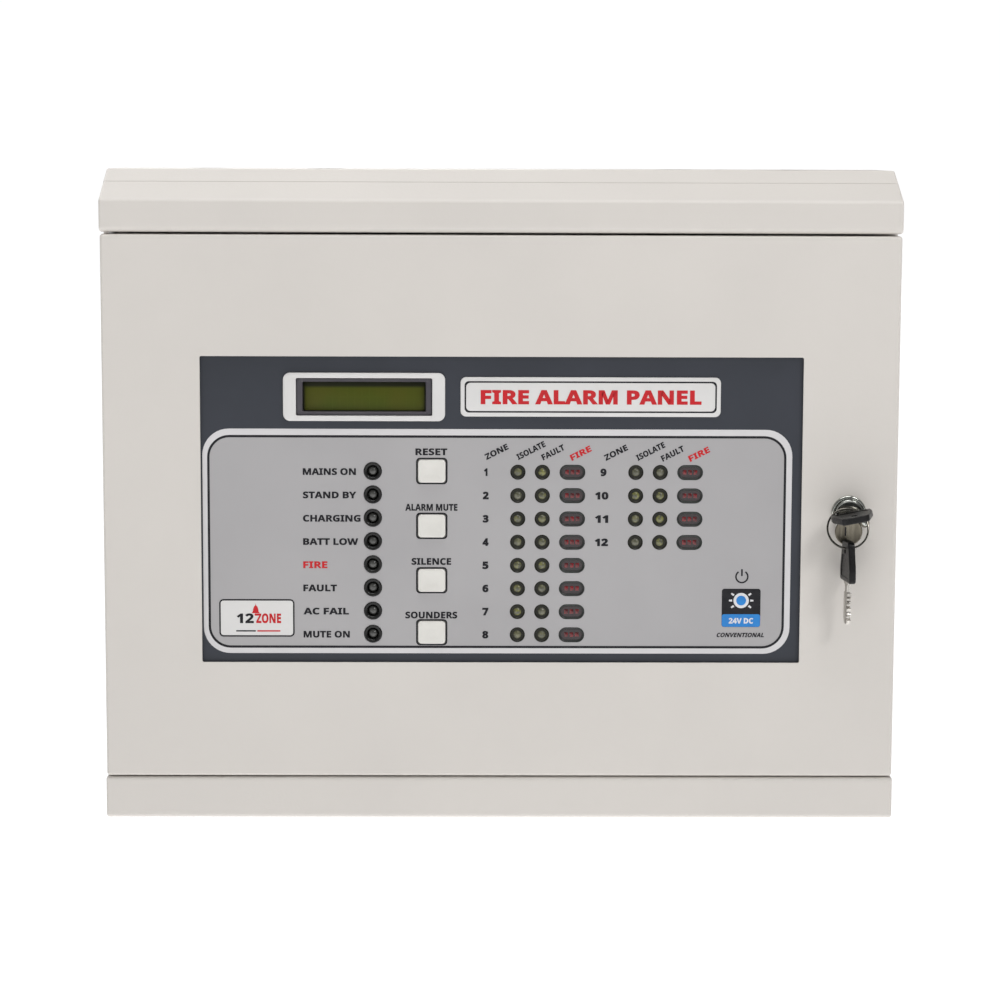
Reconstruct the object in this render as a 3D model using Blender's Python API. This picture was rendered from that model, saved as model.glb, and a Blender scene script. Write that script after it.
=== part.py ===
"""Conventional fire alarm control panel: folded steel case, hinged door, fascia, lock and internals.

Metres, +Z up. The door faces -Y, and +X is to the right of someone who faces the panel.
The origin is the centre of the case's rear face, which lies flat on the wall.
"""
import bpy
import bmesh
from math import cos, pi, radians, sin, sqrt, tau
from mathutils import Matrix, Vector

MM = 0.001
GAP = 0.3                    # clearance between neighbouring solids

# ---- case, mm ----
CASE_W, CASE_H, CASE_D = 400.0, 328.0, 100.0
SHEET = 1.2                  # steel thickness
FOLD_R = 1.6                 # outside radius of a fold
FOLD_ANGLE = radians(18)     # flatter edges aren't folds
TRAY_D = 80.0                # depth of the tray behind the door
SLOPE_D, SLOPE_DROP = 34.0, 15.0      # the hood slopes down over its front 34 mm
LIP = 12.0                   # flange around the mouth of the tray
HOOD_BOTTOM = 132.9
LEDGE_TOP = -142.8

# ---- door, mm ----
DOOR_W = 399.2
DOOR_TOP, DOOR_BOTTOM = 131.9, -142.1
DOOR_D = 18.0
HINGE_X, HINGE_Y = -194.0, -91.0
PIN_R = 2.0

# ---- fascia, mm ----
CUT_X, CUT_Z, CUT_W, CUT_H = 0.4, -6.1, 302.0, 155.0
PLATE_W, PLATE_H = 318.0, 171.0
OVERLAY_FRONT, OVERLAY_BACK = -97.9, -97.5
PLATE_FRONT, PLATE_BACK = -97.2, -95.2
BOARD_FRONT, BOARD_BACK = -88.6, -87.0
LED_PITCH = 11.83
ROW_TOP = 13.2
STATUS_X = -64.35
ZONE_BLOCKS = ((8.6, 20.9, 36.0, 8), (67.9, 80.2, 95.2, 4))     # fault, isolate, fire, rows
LENS_R = 3.85
PILL_W = 13.05
STATUS_R = 4.65
LAMP_R, LAMP_WELL_R = 2.5, 2.9
BUTTON_X = -34.7
BUTTON_ROWS = {"reset": 13.7, "alarm_mute": -14.1, "silence": -41.8, "sounders": -68.4}
BUTTON_W, BUTTON_H = 13.8, 11.6
BUTTON_TRAVEL = 0.8
LCD_X, LCD_Z = -68.6, 51.0
LCD_OPEN_W, LCD_OPEN_H = 68.2, 18.9
GLASS_W, GLASS_H = 61.5, 14.75
TITLE_X, TITLE_Z, TITLE_W, TITLE_H = 44.9, 51.2, 130.4, 19.8

DISPLAY_BOARD = (19, -28, 200, 112)                              # centre, width and height

# ---- lock and keys, mm ----
LOCK_X, LOCK_Z = 175.1, -6.8
FLANGE_R, PLUG_R, SHAFT_R, BARREL_R = 8.8, 6.9, 5.4, 7.6
KEY_TILT = radians(11)
BLADE_W, BLADE_T, BLADE_L = 8.0, 2.0, 21.4           # the length shows outside the bow
WAIST_W = 3.8                                        # where the dust cover lies beside the neck
BOW_W, BOW_END_W, BOW_L, BOW_T = 20.4, 13.0, 20.5, 3.4
BOW_START = -108.5
HOLE_INSET, HOLE_R = 4.8, 1.7
RING_R, RING_WIRE = 10.2, 0.5
RING_SIDE = 1.4
RING_Y = -105.3
RING_TILT = radians(20.8)
COVER_R = 6.9
COVER_X, COVER_Z = 174.8, -15.9
PIVOT_X, PIVOT_Z = 182.9, -11.4

# ---- wall fixings, mm ----
FIXING_X, KEYHOLE_Z, SCREW_HOLE_Z = 140, 142, -54

# ---- batteries, mm ----
BATTERY_W, BATTERY_D, BATTERY_H = 151.0, 65.0, 94.0


def clear_scene():
    for obj in list(bpy.data.objects):
        bpy.data.objects.remove(obj, do_unlink=True)


def paint(name, colour, roughness, metallic=0.0):
    """A plain Principled material, made once for each finish."""
    if name in bpy.data.materials:
        return bpy.data.materials[name]
    material = bpy.data.materials.new(name)
    material.use_nodes = True
    shader = material.node_tree.nodes["Principled BSDF"]
    shader.inputs["Base Color"].default_value = (*colour, 1)
    shader.inputs["Roughness"].default_value = roughness
    shader.inputs["Metallic"].default_value = metallic
    return material


CREAM = paint("cream_powder_coat", (0.66, 0.62, 0.58), 0.5)
SLATE = paint("slate_print", (0.06, 0.07, 0.09), 0.5)
GREY = paint("grey_overlay", (0.42, 0.42, 0.42), 0.5)
WHITE = paint("white_plastic", (0.78, 0.78, 0.76), 0.4)
BLACK = paint("black_plastic", (0.02, 0.02, 0.02), 0.45)
GREEN = paint("green_glass", (0.07, 0.09, 0.01), 0.2)
BOARD = paint("circuit_board", (0.02, 0.14, 0.05), 0.5)
STEEL = paint("zinc_steel", (0.62, 0.62, 0.62), 0.35, 1.0)
CHROME = paint("chrome", (0.8, 0.8, 0.8), 0.12, 1.0)
COPPER = paint("winding_tape", (0.45, 0.30, 0.08), 0.5)
ALUMINIUM = paint("aluminium", (0.7, 0.7, 0.72), 0.4, 1.0)
TERMINAL = paint("green_terminal", (0.03, 0.30, 0.08), 0.45)
RUBBER = paint("black_rubber", (0.03, 0.03, 0.03), 0.8)
CASE_GREY = paint("battery_case", (0.10, 0.10, 0.11), 0.5)
RED_LEAD = paint("red_lead", (0.5, 0.02, 0.02), 0.45)
BLUE_LEAD = paint("blue_lead", (0.02, 0.05, 0.3), 0.45)


# ---------------------------------------------------------------- outlines

def circle(cx, cz, r, n=10, turn=0.0):
    return [(cx + r * cos(turn + tau * i / n), cz + r * sin(turn + tau * i / n)) for i in range(n)]


def rounded(cx, cz, w, h, r, n=3):
    """A rectangle with round corners; n steps for each corner."""
    outline = []
    for k, (sx, sz) in enumerate(((1, 1), (-1, 1), (-1, -1), (1, -1))):
        for i in range(n + 1):
            angle = (k + i / n) * pi / 2
            outline.append((cx + sx * (w / 2 - r) + r * cos(angle), cz + sz * (h / 2 - r) + r * sin(angle)))
    return outline


def rectangle(x0, x1, z0, z1):
    return [(x0, z0), (x1, z0), (x1, z1), (x0, z1)]


# ---------------------------------------------------------------- solids

AXES = {
    "y": lambda a, b, c: (a, c, b),      # outline in XZ, thickness along Y
    "z": lambda a, b, c: (a, b, c),      # outline in XY, thickness along Z
    "x": lambda a, b, c: (c, a, b),      # outline in YZ, thickness along X
}


def prism(outline, low, high, axis="y", holes=()):
    """A plate: an outline with holes, filled, and given its thickness."""
    place = AXES[axis]
    bm = bmesh.new()
    edges = []
    for loop in (outline, *holes):
        verts = [bm.verts.new(Vector(place(a, b, low)) * MM) for a, b in loop]
        edges += [bm.edges.new((verts[i], verts[i - 1])) for i in range(len(verts))]
    bmesh.ops.triangle_fill(bm, use_beauty=True, use_dissolve=False, edges=edges)
    made = bmesh.ops.extrude_face_region(bm, geom=bm.faces[:])
    moved = [v for v in made["geom"] if isinstance(v, bmesh.types.BMVert)]
    bmesh.ops.translate(bm, verts=moved, vec=Vector(place(0, 0, high - low)) * MM)
    bmesh.ops.recalc_face_normals(bm, faces=bm.faces[:])
    return bm


def block(x0, x1, y0, y1, z0, z1):
    return prism(rectangle(x0, x1, z0, z1), y0, y1)


def turned(profile, cx, cz, n=16):
    """A solid turned about an axis along Y; the profile is (radius, y) from one end to the other."""
    bm = bmesh.new()
    rings = []
    for r, y in profile:
        if r == 0:
            rings.append([bm.verts.new(Vector((cx, y, cz)) * MM)])
        else:
            rings.append([bm.verts.new(Vector((x, y, z)) * MM) for x, z in circle(cx, cz, r, n)])
    for a, b in zip(rings, rings[1:]):
        for i in range(n):
            j = (i + 1) % n
            corners = [a[i % len(a)], a[j % len(a)], b[j % len(b)], b[i % len(b)]]
            bm.faces.new(list(dict.fromkeys(corners)))
    for ring in (rings[0], rings[-1]):
        if len(ring) > 1:
            bm.faces.new(ring)
    bmesh.ops.recalc_face_normals(bm, faces=bm.faces[:])
    return bm


def merge(*meshes):
    """Several solids that don't touch, in one mesh, to be used as a tool."""
    bm = bmesh.new()
    for other in meshes:
        mesh = bpy.data.meshes.new("merge")
        other.to_mesh(mesh)
        other.free()
        bm.from_mesh(mesh)
        bpy.data.meshes.remove(mesh)
    return bm


def piece(name, bm, material, origin=(0, 0, 0), turn=None, smooth=False):
    """A named object whose origin is at the given point, in mm."""
    bmesh.ops.translate(bm, verts=bm.verts[:], vec=-Vector(origin) * MM)
    mesh = bpy.data.meshes.new(name)
    bm.to_mesh(mesh)
    bm.free()
    if smooth:
        mesh.shade_smooth()
        mesh.set_sharp_from_angle(angle=radians(35))
    obj = bpy.data.objects.new(name, mesh)
    obj.data.materials.append(material)
    obj.location = Vector(origin) * MM
    if turn is not None:
        obj.rotation_euler = turn.to_euler()
    bpy.context.scene.collection.objects.link(obj)
    return obj


def tool(obj, bm, operation):
    """A Boolean on obj with a hidden wire tool."""
    helper = piece(obj.name + "_tool", bm, obj.active_material)
    helper.hide_render = True
    helper.display_type = "WIRE"
    modifier = obj.modifiers.new(operation.lower(), "BOOLEAN")
    modifier.operation = operation
    modifier.object = helper
    return obj


def cut(obj, *meshes):
    return tool(obj, merge(*meshes), "DIFFERENCE")


def fuse(obj, *meshes):
    return tool(obj, merge(*meshes), "UNION")


def soften(obj):
    """Round folds on every sharp edge."""
    bevel = obj.modifiers.new("folds", "BEVEL")
    bevel.width = FOLD_R * MM
    bevel.segments = 2
    bevel.limit_method = "ANGLE"
    bevel.angle_limit = FOLD_ANGLE
    return obj


def fold_edges(bm):
    """Round folds on every sharp edge that doesn't lie on the wall."""
    edges = [edge for edge in bm.edges
             if edge.calc_face_angle() > FOLD_ANGLE and min(v.co.y for v in edge.verts) < -FOLD_R * MM]
    bmesh.ops.bevel(bm, geom=edges, offset=FOLD_R * MM, segments=2, profile=0.5, affect="EDGES")
    return bm


def lead(name, points, radius, material, steps=3):
    """An insulated lead: a smooth tube through its route's points."""
    route = [Vector(p) * MM for p in points]
    padded = [2 * route[0] - route[1], *route, 2 * route[-1] - route[-2]]
    smooth = []
    for a, b, c, d in zip(padded, padded[1:], padded[2:], padded[3:]):
        for k in range(steps):
            t = k / steps
            smooth.append(0.5 * ((2 * b) + (c - a) * t + (2 * a - 5 * b + 4 * c - d) * t * t
                                 + (3 * b - a - 3 * c + d) * t ** 3))
    smooth.append(route[-1])
    curve = bpy.data.curves.new(name, "CURVE")
    curve.dimensions = "3D"
    curve.bevel_depth = radius * MM
    curve.bevel_resolution = 0
    curve.use_fill_caps = True
    spline = curve.splines.new("POLY")
    spline.points.add(len(smooth) - 1)
    for point, place in zip(spline.points, smooth):
        point.co = (*place, 1)
    obj = bpy.data.objects.new(name, curve)
    obj.data.materials.append(material)
    bpy.context.scene.collection.objects.link(obj)
    return obj


# ---------------------------------------------------------------- case

def slope_z(y, inset=0.0):
    """Height of the sloping sheet at y, measured inset mm below its outer face."""
    run = Vector((SLOPE_D, SLOPE_DROP)).length
    start = CASE_H / 2 - inset * SLOPE_D / run
    offset = inset * SLOPE_DROP / run
    return start + (y + CASE_D - SLOPE_D - offset) * SLOPE_DROP / SLOPE_D


def tray_section(inset):
    """Side outline (y, z) of the tray, inset from its outer faces."""
    top = CASE_H / 2 - inset
    front = -TRAY_D + inset
    crease = -(CASE_D - SLOPE_D) + inset * tan_half_slope()
    return [(-inset, -top), (-inset, top), (crease, top), (front, slope_z(front, inset)), (front, -top)]


def tan_half_slope():
    run = Vector((SLOPE_D, SLOPE_DROP)).length
    return SLOPE_DROP / (SLOPE_D + run)


def keyhole(x, z):
    """A wall fixing: a screw head goes through the round part, and the shank up the slot."""
    return [circle(x, z, 4.6, 12), rectangle(x - 2.6, x + 2.6, z + 3, z + 13)]


GROMMETS = (-150.0, -90.0, 90.0, 150.0)
GROMMET_Y, GROMMET_R = -34.0, 10.0
MAIN_BOARD = (-22.0, 186.0, -48.0, 118.0)          # x0, x1, z0, z1
POWER_BOARD = (-112.0, -34.0, 18.0, 118.0)
STANDOFF_TIP = -10.2
RELAYS = (8.0, 34.0)


def board_corners(board, inset=6.0):
    x0, x1, z0, z1 = board
    return [(x, z) for x in (x0 + inset, x1 - inset) for z in (z0 + inset, z1 - inset)]


def make_back_box():
    half = CASE_W / 2
    box = piece("back_box", fold_edges(prism(tray_section(0), -half, half, "x")), CREAM)
    cut(box, prism(tray_section(SHEET), -half + SHEET, half - SHEET, "x"))
    mouth = rectangle(-half + LIP, half - LIP, -CASE_H / 2 + LIP, slope_z(-TRAY_D) - LIP)
    cut(box, prism(mouth, -TRAY_D - 1, -TRAY_D + SHEET + 1))
    heads, slots = zip(*[keyhole(x, KEYHOLE_Z) for x in (-FIXING_X, FIXING_X)])
    screws = [circle(x, SCREW_HOLE_Z, 2.8, 10) for x in (-FIXING_X, FIXING_X)]
    cut(box, *[prism(hole, -SHEET - 1, 1) for hole in (*heads, *screws)])
    cut(box, *[prism(slot, -SHEET - 1, 1) for slot in slots])
    top = CASE_H / 2
    cut(box, *[prism(circle(x, GROMMET_Y, GROMMET_R, 16), top - SHEET - 1, top + 1, "z") for x in GROMMETS])
    posts = board_corners(MAIN_BOARD) + board_corners(POWER_BOARD)
    studs = [prism(circle(x, z, 3.2, 8), STANDOFF_TIP, -SHEET / 2) for x, z in posts]
    studs.append(prism(circle(-176, -20, 2.5, 8), -14, -SHEET / 2))      # earth stud
    fuse(box, *studs)


def front_section(low, high, sloped, inset):
    """Side outline (y, z) of a strip of the case beside the door."""
    front, back = -CASE_D + inset, -TRAY_D - GAP + (1 if inset else 0)
    if sloped:
        return [(back, low + inset), (back, slope_z(back, inset)), (front, slope_z(front, inset)), (front, low + inset)]
    return [(back, low + inset), (back, high - inset), (front, high - inset), (front, low + inset)]


def make_front_strips():
    """The hood above the door and the ledge below it: folded channels, open at the back."""
    half = CASE_W / 2
    hood = soften(piece("top_hood", prism(front_section(HOOD_BOTTOM, 0, True, 0), -half, half, "x"), CREAM))
    cut(hood, prism(front_section(HOOD_BOTTOM, 0, True, SHEET), -half + SHEET, half - SHEET, "x"))
    cut(hood, prism(circle(HINGE_X, HINGE_Y, PIN_R + GAP, 12), HOOD_BOTTOM - 1, HOOD_BOTTOM + SHEET + 1, "z"))
    low = -CASE_H / 2
    ledge = soften(piece("bottom_ledge", prism(front_section(low, LEDGE_TOP, False, 0), -half, half, "x"), CREAM))
    cut(ledge, prism(front_section(low, LEDGE_TOP, False, SHEET), -half + SHEET, half - SHEET, "x"))
    cut(ledge, prism(circle(HINGE_X, HINGE_Y, PIN_R + GAP, 12), LEDGE_TOP - SHEET - 1, LEDGE_TOP + 1, "z"))


def upright(profile, x, y, n=12):
    """A solid turned about a vertical axis; the profile is (radius, z)."""
    bm = turned([(r, z) for r, z in profile], 0, 0, n)
    # the Y axis of the turned solid becomes Z
    bmesh.ops.rotate(bm, verts=bm.verts[:], cent=(0, 0, 0), matrix=Matrix.Rotation(pi / 2, 3, "X"))
    bmesh.ops.translate(bm, verts=bm.verts[:], vec=Vector((x, y, 0)) * MM)
    bmesh.ops.recalc_face_normals(bm, faces=bm.faces[:])
    return bm


def make_hinge_pins():
    """Headed pins: each head lies inside a strip, and the shank goes into the door's flange."""
    head_z = HOOD_BOTTOM + SHEET + GAP
    upper = [(PIN_R, DOOR_TOP - 6), (PIN_R, head_z), (3.6, head_z), (3.6, head_z + 2)]
    piece("hinge_pin_upper", upright(upper, HINGE_X, HINGE_Y), STEEL, smooth=True)
    head_z = LEDGE_TOP - SHEET - GAP
    lower = [(3.6, head_z - 2), (3.6, head_z), (PIN_R, head_z), (PIN_R, DOOR_BOTTOM + 6)]
    piece("hinge_pin_lower", upright(lower, HINGE_X, HINGE_Y), STEEL, smooth=True)


def make_grommets():
    """Closed rubber grommets: flush outside, a lip behind the sheet, and a thin skin across the middle."""
    top = CASE_H / 2
    neck, lip = GROMMET_R - GAP, GROMMET_R + 2.5
    for number, x in enumerate(GROMMETS, 1):
        profile = [(0, top - 0.9), (7, top - 0.9), (7.5, top - 0.1), (neck, top - 0.1), (neck, top - SHEET - GAP),
                   (lip, top - SHEET - GAP), (lip, top - SHEET - 1.6), (7, top - SHEET - 2), (7, top - 1.9), (0, top - 1.9)]
        piece(f"cable_grommet_{number}", upright(profile, x, GROMMET_Y, 12), RUBBER, smooth=True)


# ---------------------------------------------------------------- things on the back wall

def make_boards():
    """The control board, with its screws and relays, and the power board, on their posts."""
    face = STANDOFF_TIP - GAP
    for name, board in (("main_board", MAIN_BOARD), ("power_board", POWER_BOARD)):
        x0, x1, z0, z1 = board
        obj = piece(name, prism(rounded((x0 + x1) / 2, (z0 + z1) / 2, x1 - x0, z1 - z0, 3, 2), face - 1.6, face), BOARD)
        parts = [turned([(2.6, face - 3.4), (2.6, face - 0.8)], x, z, 8) for x, z in board_corners(board)]
        if name == "main_board":
            parts += [block(x - 9.5, x + 9.5, face - 15.5, face - 0.8, -37, -22) for x in RELAYS]
        fuse(obj, *parts)
    return face - 1.6 - GAP


def comb(x0, ways, pitch, z0, z1, back, front):
    """A terminal block: a stepped bar with a notch for each wire."""
    x1 = x0 + ways * pitch
    depth = back - front
    section = [(back, z0), (back, z1), (front + depth * 0.45, z1), (front, z1 - 4), (front, z0)]
    bar = prism(section, x0, x1, "x")
    notches = [block(x0 + (i + 0.5) * pitch - 1.4, x0 + (i + 0.5) * pitch + 1.4,
                     front + depth * 0.5, back - 2, z1 - 3, z1 + 1) for i in range(ways)]
    return bar, notches


def make_board_parts(face):
    """Tall components, standing off the boards towards the door."""
    for name, x0, ways, pitch, z0, z1, up in (
            ("zone_terminals", -8, 16, 11.25, 104.0, 115.0, 14), ("sounder_terminals", 60, 9, 11.25, -45.0, -34.0, 14),
            ("mains_terminals", -98, 5, 10.0, 101.0, 115.0, 18)):
        bar, notches = comb(x0, ways, pitch, z0, z1, face, face - up)
        cut(piece(name, bar, TERMINAL), *notches)
    piece("alarm_buzzer", turned([(14, face), (14, face - 9), (12.5, face - 11), (3, face - 11), (3, face - 8),
                                  (0, face - 8)], 160, 20, 20), BLACK, smooth=True)
    piece("smoothing_capacitor", turned([(11, face), (11, face - 33), (10, face - 35), (0, face - 35)], -52, 40, 18),
          BLUE_LEAD, smooth=True)
    holder = piece("fuse_holder", block(-108, -84, face - 8, face, 30, 39), BLACK)
    fuse(holder, prism(circle(face - 9, 34.5, 3, 8), -104, -88, "x"))
    fins = [(-102, face), (-102, face - 22)]
    for i in range(6):
        x = -102 + 8 * i
        fins += [(x + 3, face - 22), (x + 3, face - 4), (x + 8, face - 4), (x + 8, face - 22)]
    fins += [(-51, face - 22), (-51, face)]
    piece("heat_sink", prism(fins, 56, 92, "z"), ALUMINIUM)


def make_transformer():
    """An E-I core on four feet, with its winding around the middle leg."""
    cx, z0, z1 = -157.0, 44.0, 99.0
    back, front = -14.0, -46.0
    outline = rectangle(cx - 33, cx + 33, z0, z1)
    windows = [rectangle(cx + s * 16.5 - 5.5, cx + s * 16.5 + 5.5, z0 + 11, z1 - 11) for s in (-1, 1)]
    core = piece("transformer_core", prism(outline, front, back, "y", windows), STEEL)
    feet = [block(cx + s * 30 - 2.5, cx + s * 30 + 2.5, back - 0.5, -SHEET - GAP, z, z + 8)
            for s in (-1, 1) for z in (z0, z1 - 8)]
    fuse(core, *feet)
    middle = (front + back) / 2
    outer = rounded(cx, middle, 43.2, back - front + 19, 5, 3)
    inner = rectangle(cx - 11.4, cx + 11.4, front - 0.4, back + 0.4)
    piece("transformer_winding", prism(outer, z0 + 11.4, z1 - 11.4, "z", [inner]), COPPER)


def make_batteries():
    """Two sealed lead-acid batteries stand on the case's floor behind a clamp."""
    floor = -CASE_H / 2 + SHEET + GAP
    back = -SHEET - GAP
    top = floor + BATTERY_H
    for name, x0 in (("battery_left", -BATTERY_W - 2.5), ("battery_right", 2.5)):
        x1 = x0 + BATTERY_W
        middle_y = back - BATTERY_D / 2
        case = prism(rounded((x0 + x1) / 2, middle_y, BATTERY_W, BATTERY_D, 3, 2), floor, top, "z")
        battery = piece(name, case, CASE_GREY)
        tabs = [block(x - 3, x + 3, back - 12.4, back - 11.6, top - 1, top + 6) for x in (x0 + 10, x1 - 10)]
        fuse(battery, *tabs)
    front = back - BATTERY_D - GAP
    half = BATTERY_W + 2.5 + GAP
    strap = [(-half - 12, back), (-half - 12, back - 1.5), (-half - 1.5, back - 1.5), (-half - 1.5, front - 1.5),
             (half + 1.5, front - 1.5), (half + 1.5, back - 1.5), (half + 12, back - 1.5), (half + 12, back),
             (half, back), (half, front), (-half, front), (-half, back)]
    piece("battery_clamp", prism(strap, -122, -102, "z"), STEEL)
    return top


def make_leads(battery_top):
    """Leads from the batteries to the power board, and the link between the two batteries."""
    tab_y = -SHEET - GAP - 12
    start = battery_top + 6 + 2 * GAP
    left, right = -BATTERY_W - 2.5, 2.5
    lead("battery_link_lead", [(-12.5, tab_y, start), (-12.5, tab_y, start + 3), (-8, tab_y - 1, start + 5.5),
                               (8, tab_y - 1, start + 5.5), (12.5, tab_y, start + 3), (12.5, tab_y, start)],
         1.3, BLUE_LEAD)
    plug_y = STANDOFF_TIP - GAP - 1.6 - 4
    lead("battery_lead_black", [(left + 10, tab_y, start), (left + 10, tab_y, start + 10), (left + 14, tab_y - 6, -20),
                                (left + 24, plug_y - 8, 4), (-118, plug_y - 4, 14), (-106, plug_y, 24)],
         1.3, BLACK)
    lead("battery_lead_red", [(right + BATTERY_W - 10, tab_y, start), (right + BATTERY_W - 10, tab_y, start + 3),
                              (140, tab_y - 5, start + 6), (120, tab_y - 20, -52), (60, tab_y - 22, -53.5), (-8, tab_y - 22, -53.5),
                              (-28, tab_y - 20, -44), (-44, tab_y - 16, -10), (-60, plug_y - 4, 12), (-74, plug_y, 24)],
         1.3, RED_LEAD)


def make_door_harness():
    """A sleeved bundle that bends at the hinge: from the control board round to the display board."""
    lead("door_harness", [(-26, -20, -28), (-60, -22, -34), (-100, -27, -36), (-140, -36, -36), (-168, -48, -35),
                          (-180.5, -62, -35), (-181.5, -74, -36), (-176, -81.5, -38), (-160, -83.5, -40),
                          (-138, -83.5, -40), (-112, -83.5, -40), (-92, -83.5, -40), (-82, -83.5, -40)],
         2.6, BLACK)


# ---------------------------------------------------------------- door

FASCIA_STUDS = [(CUT_X + sx * 155, CUT_Z + sz * 81.3) for sx in (-1, 1) for sz in (-1, 1)]


def make_door():
    half = DOOR_W / 2
    front, back = -CASE_D, -CASE_D + DOOR_D
    outer = rectangle(-half, half, DOOR_BOTTOM, DOOR_TOP)
    door = soften(piece("door_panel", prism(outer, front, back), CREAM, (HINGE_X, HINGE_Y, 0)))
    inner = rectangle(-half + SHEET, half - SHEET, DOOR_BOTTOM + SHEET, DOOR_TOP - SHEET)
    cut(door, prism(inner, front + SHEET, back + 1))
    cut(door, prism(rounded(CUT_X, CUT_Z, CUT_W, CUT_H, 0.8, 1), front - 1, front + SHEET + 1),
        prism(circle(LOCK_X, LOCK_Z, BARREL_R + GAP, 20), front - 1, front + SHEET + 1))
    cut(door, *[prism(circle(HINGE_X, HINGE_Y, PIN_R + GAP, 12), z - 3, z + 3, "z") for z in (DOOR_TOP, DOOR_BOTTOM)])
    fuse(door, *[prism(circle(x, z, 1.5, 8), front + SHEET / 2, -89) for x, z in FASCIA_STUDS])


def lens_outlines():
    """The openings in front of the zone lamps."""
    loops = []
    for fault_x, isolate_x, fire_x, rows in ZONE_BLOCKS:
        for row in range(rows):
            z = ROW_TOP - row * LED_PITCH
            loops += [circle(x, z, LENS_R, 8, pi / 8) for x in (fault_x, isolate_x)]
            loops.append(rounded(fire_x, z, PILL_W, 2 * LENS_R, 2.4, 1))
    return loops


def status_centres():
    return [(STATUS_X, ROW_TOP + 0.4 - i * LED_PITCH) for i in range(8)]


def lamp_slots():
    """Slots in the steel plate, one behind each column of lamps."""
    columns = [(STATUS_X, STATUS_R, STATUS_R, ROW_TOP + 0.4, 8)]
    for fault_x, isolate_x, fire_x, rows in ZONE_BLOCKS:
        columns += [(fault_x, LENS_R, LENS_R, ROW_TOP, rows), (isolate_x, LENS_R, LENS_R, ROW_TOP, rows)]
        columns.append((fire_x, PILL_W / 2, LENS_R, ROW_TOP, rows))
    return [rounded(x, top - (rows - 1) * LED_PITCH / 2, 2 * half_w, (rows - 1) * LED_PITCH + 2 * half_h, 2, 1)
            for x, half_w, half_h, top, rows in columns]


def make_fascia():
    """A steel plate behind the door's opening, its printed overlay, and what is fixed to them."""
    openings = [rounded(BUTTON_X, z, BUTTON_W + 0.8, BUTTON_H + 0.8, 1, 1) for z in BUTTON_ROWS.values()]
    openings.append(rectangle(LCD_X - LCD_OPEN_W / 2, LCD_X + LCD_OPEN_W / 2,
                              LCD_Z - LCD_OPEN_H / 2, LCD_Z + LCD_OPEN_H / 2))
    overlay = rounded(CUT_X, CUT_Z, CUT_W + 3, CUT_H + 3, 1, 1)
    lamps = lens_outlines() + [circle(x, z, STATUS_R, 8) for x, z in status_centres()]
    piece("fascia_overlay", prism(overlay, OVERLAY_FRONT, OVERLAY_BACK, "y", openings + lamps), GREY)
    studs = [circle(x, z, 1.9, 8) for x, z in FASCIA_STUDS]
    sheet = rounded(CUT_X, CUT_Z, PLATE_W, PLATE_H, 2, 1)
    plate = piece("fascia_plate", prism(sheet, PLATE_FRONT, PLATE_BACK, "y", openings + lamp_slots() + studs), SLATE)
    posts = [prism(circle(x, z, 2.4, 8), PLATE_BACK - 0.5, BOARD_FRONT - GAP) for x, z in DISPLAY_POSTS]
    posts += [prism(circle(x, z, 2.0, 8), PLATE_BACK - 0.5, -90.4 - GAP) for x, z in LCD_POSTS]
    fuse(plate, *posts)
    gasket_out = rounded(CUT_X, CUT_Z, PLATE_W - 1, PLATE_H - 1, 2, 1)
    gasket_in = rounded(CUT_X, CUT_Z, CUT_W + 4.4, CUT_H + 4.4, 1, 1)
    holes = [circle(x, z, 1.9, 8) for x, z in FASCIA_STUDS]
    piece("fascia_gasket", prism(gasket_out, -CASE_D + SHEET + GAP, PLATE_FRONT - GAP, "y", [gasket_in, *holes]), RUBBER)
    for number, (x, z) in enumerate(FASCIA_STUDS, 1):
        nut = prism(circle(x, z, 3.8, 6), PLATE_BACK + GAP, PLATE_BACK + 3, "y", [circle(x, z, 1.9, 8)])
        piece(f"fascia_nut_{number}", nut, STEEL)
    surround_hole = rounded(LCD_X, LCD_Z, LCD_OPEN_W, LCD_OPEN_H, 0.6, 1)
    surround = prism(rounded(LCD_X, LCD_Z, 81.1, 24.2, 3.5, 4), OVERLAY_FRONT - GAP - 1.0, OVERLAY_FRONT - GAP, "y",
                     [surround_hole])
    piece("lcd_surround", surround, WHITE)
    title = prism(rounded(TITLE_X, TITLE_Z, TITLE_W, TITLE_H, 2.6, 4), OVERLAY_FRONT - GAP - 0.5, OVERLAY_FRONT - GAP)
    piece("title_plate", title, WHITE)


DISPLAY_POSTS = [(x, z) for x in (-76.0, 114.0) for z in (24.0, -80.0)]
LCD_POSTS = [(LCD_X + sx * 37.5, LCD_Z + sz * 15.5) for sx in (-1, 1) for sz in (-1, 1)]


def make_status_bezels():
    """Eight black lamp bezels on one moulded strip, pushed through the fascia from behind."""
    centres = status_centres()
    strip = rounded(STATUS_X, ROW_TOP + 0.4 - 3.5 * LED_PITCH, 11.4, 7 * LED_PITCH + 11.4, 2, 1)
    wells = [circle(x, z, LAMP_WELL_R, 8) for x, z in centres]
    obj = piece("status_bezels", prism(strip, PLATE_BACK + GAP, PLATE_BACK + 1.6, "y", wells), BLACK)
    rings = [prism(circle(x, z, STATUS_R - 1.5 * GAP, 8), OVERLAY_FRONT - GAP, PLATE_BACK + 0.8, "y",
                   [circle(x, z, LAMP_WELL_R, 8)]) for x, z in centres]
    fuse(obj, *rings)


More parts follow.
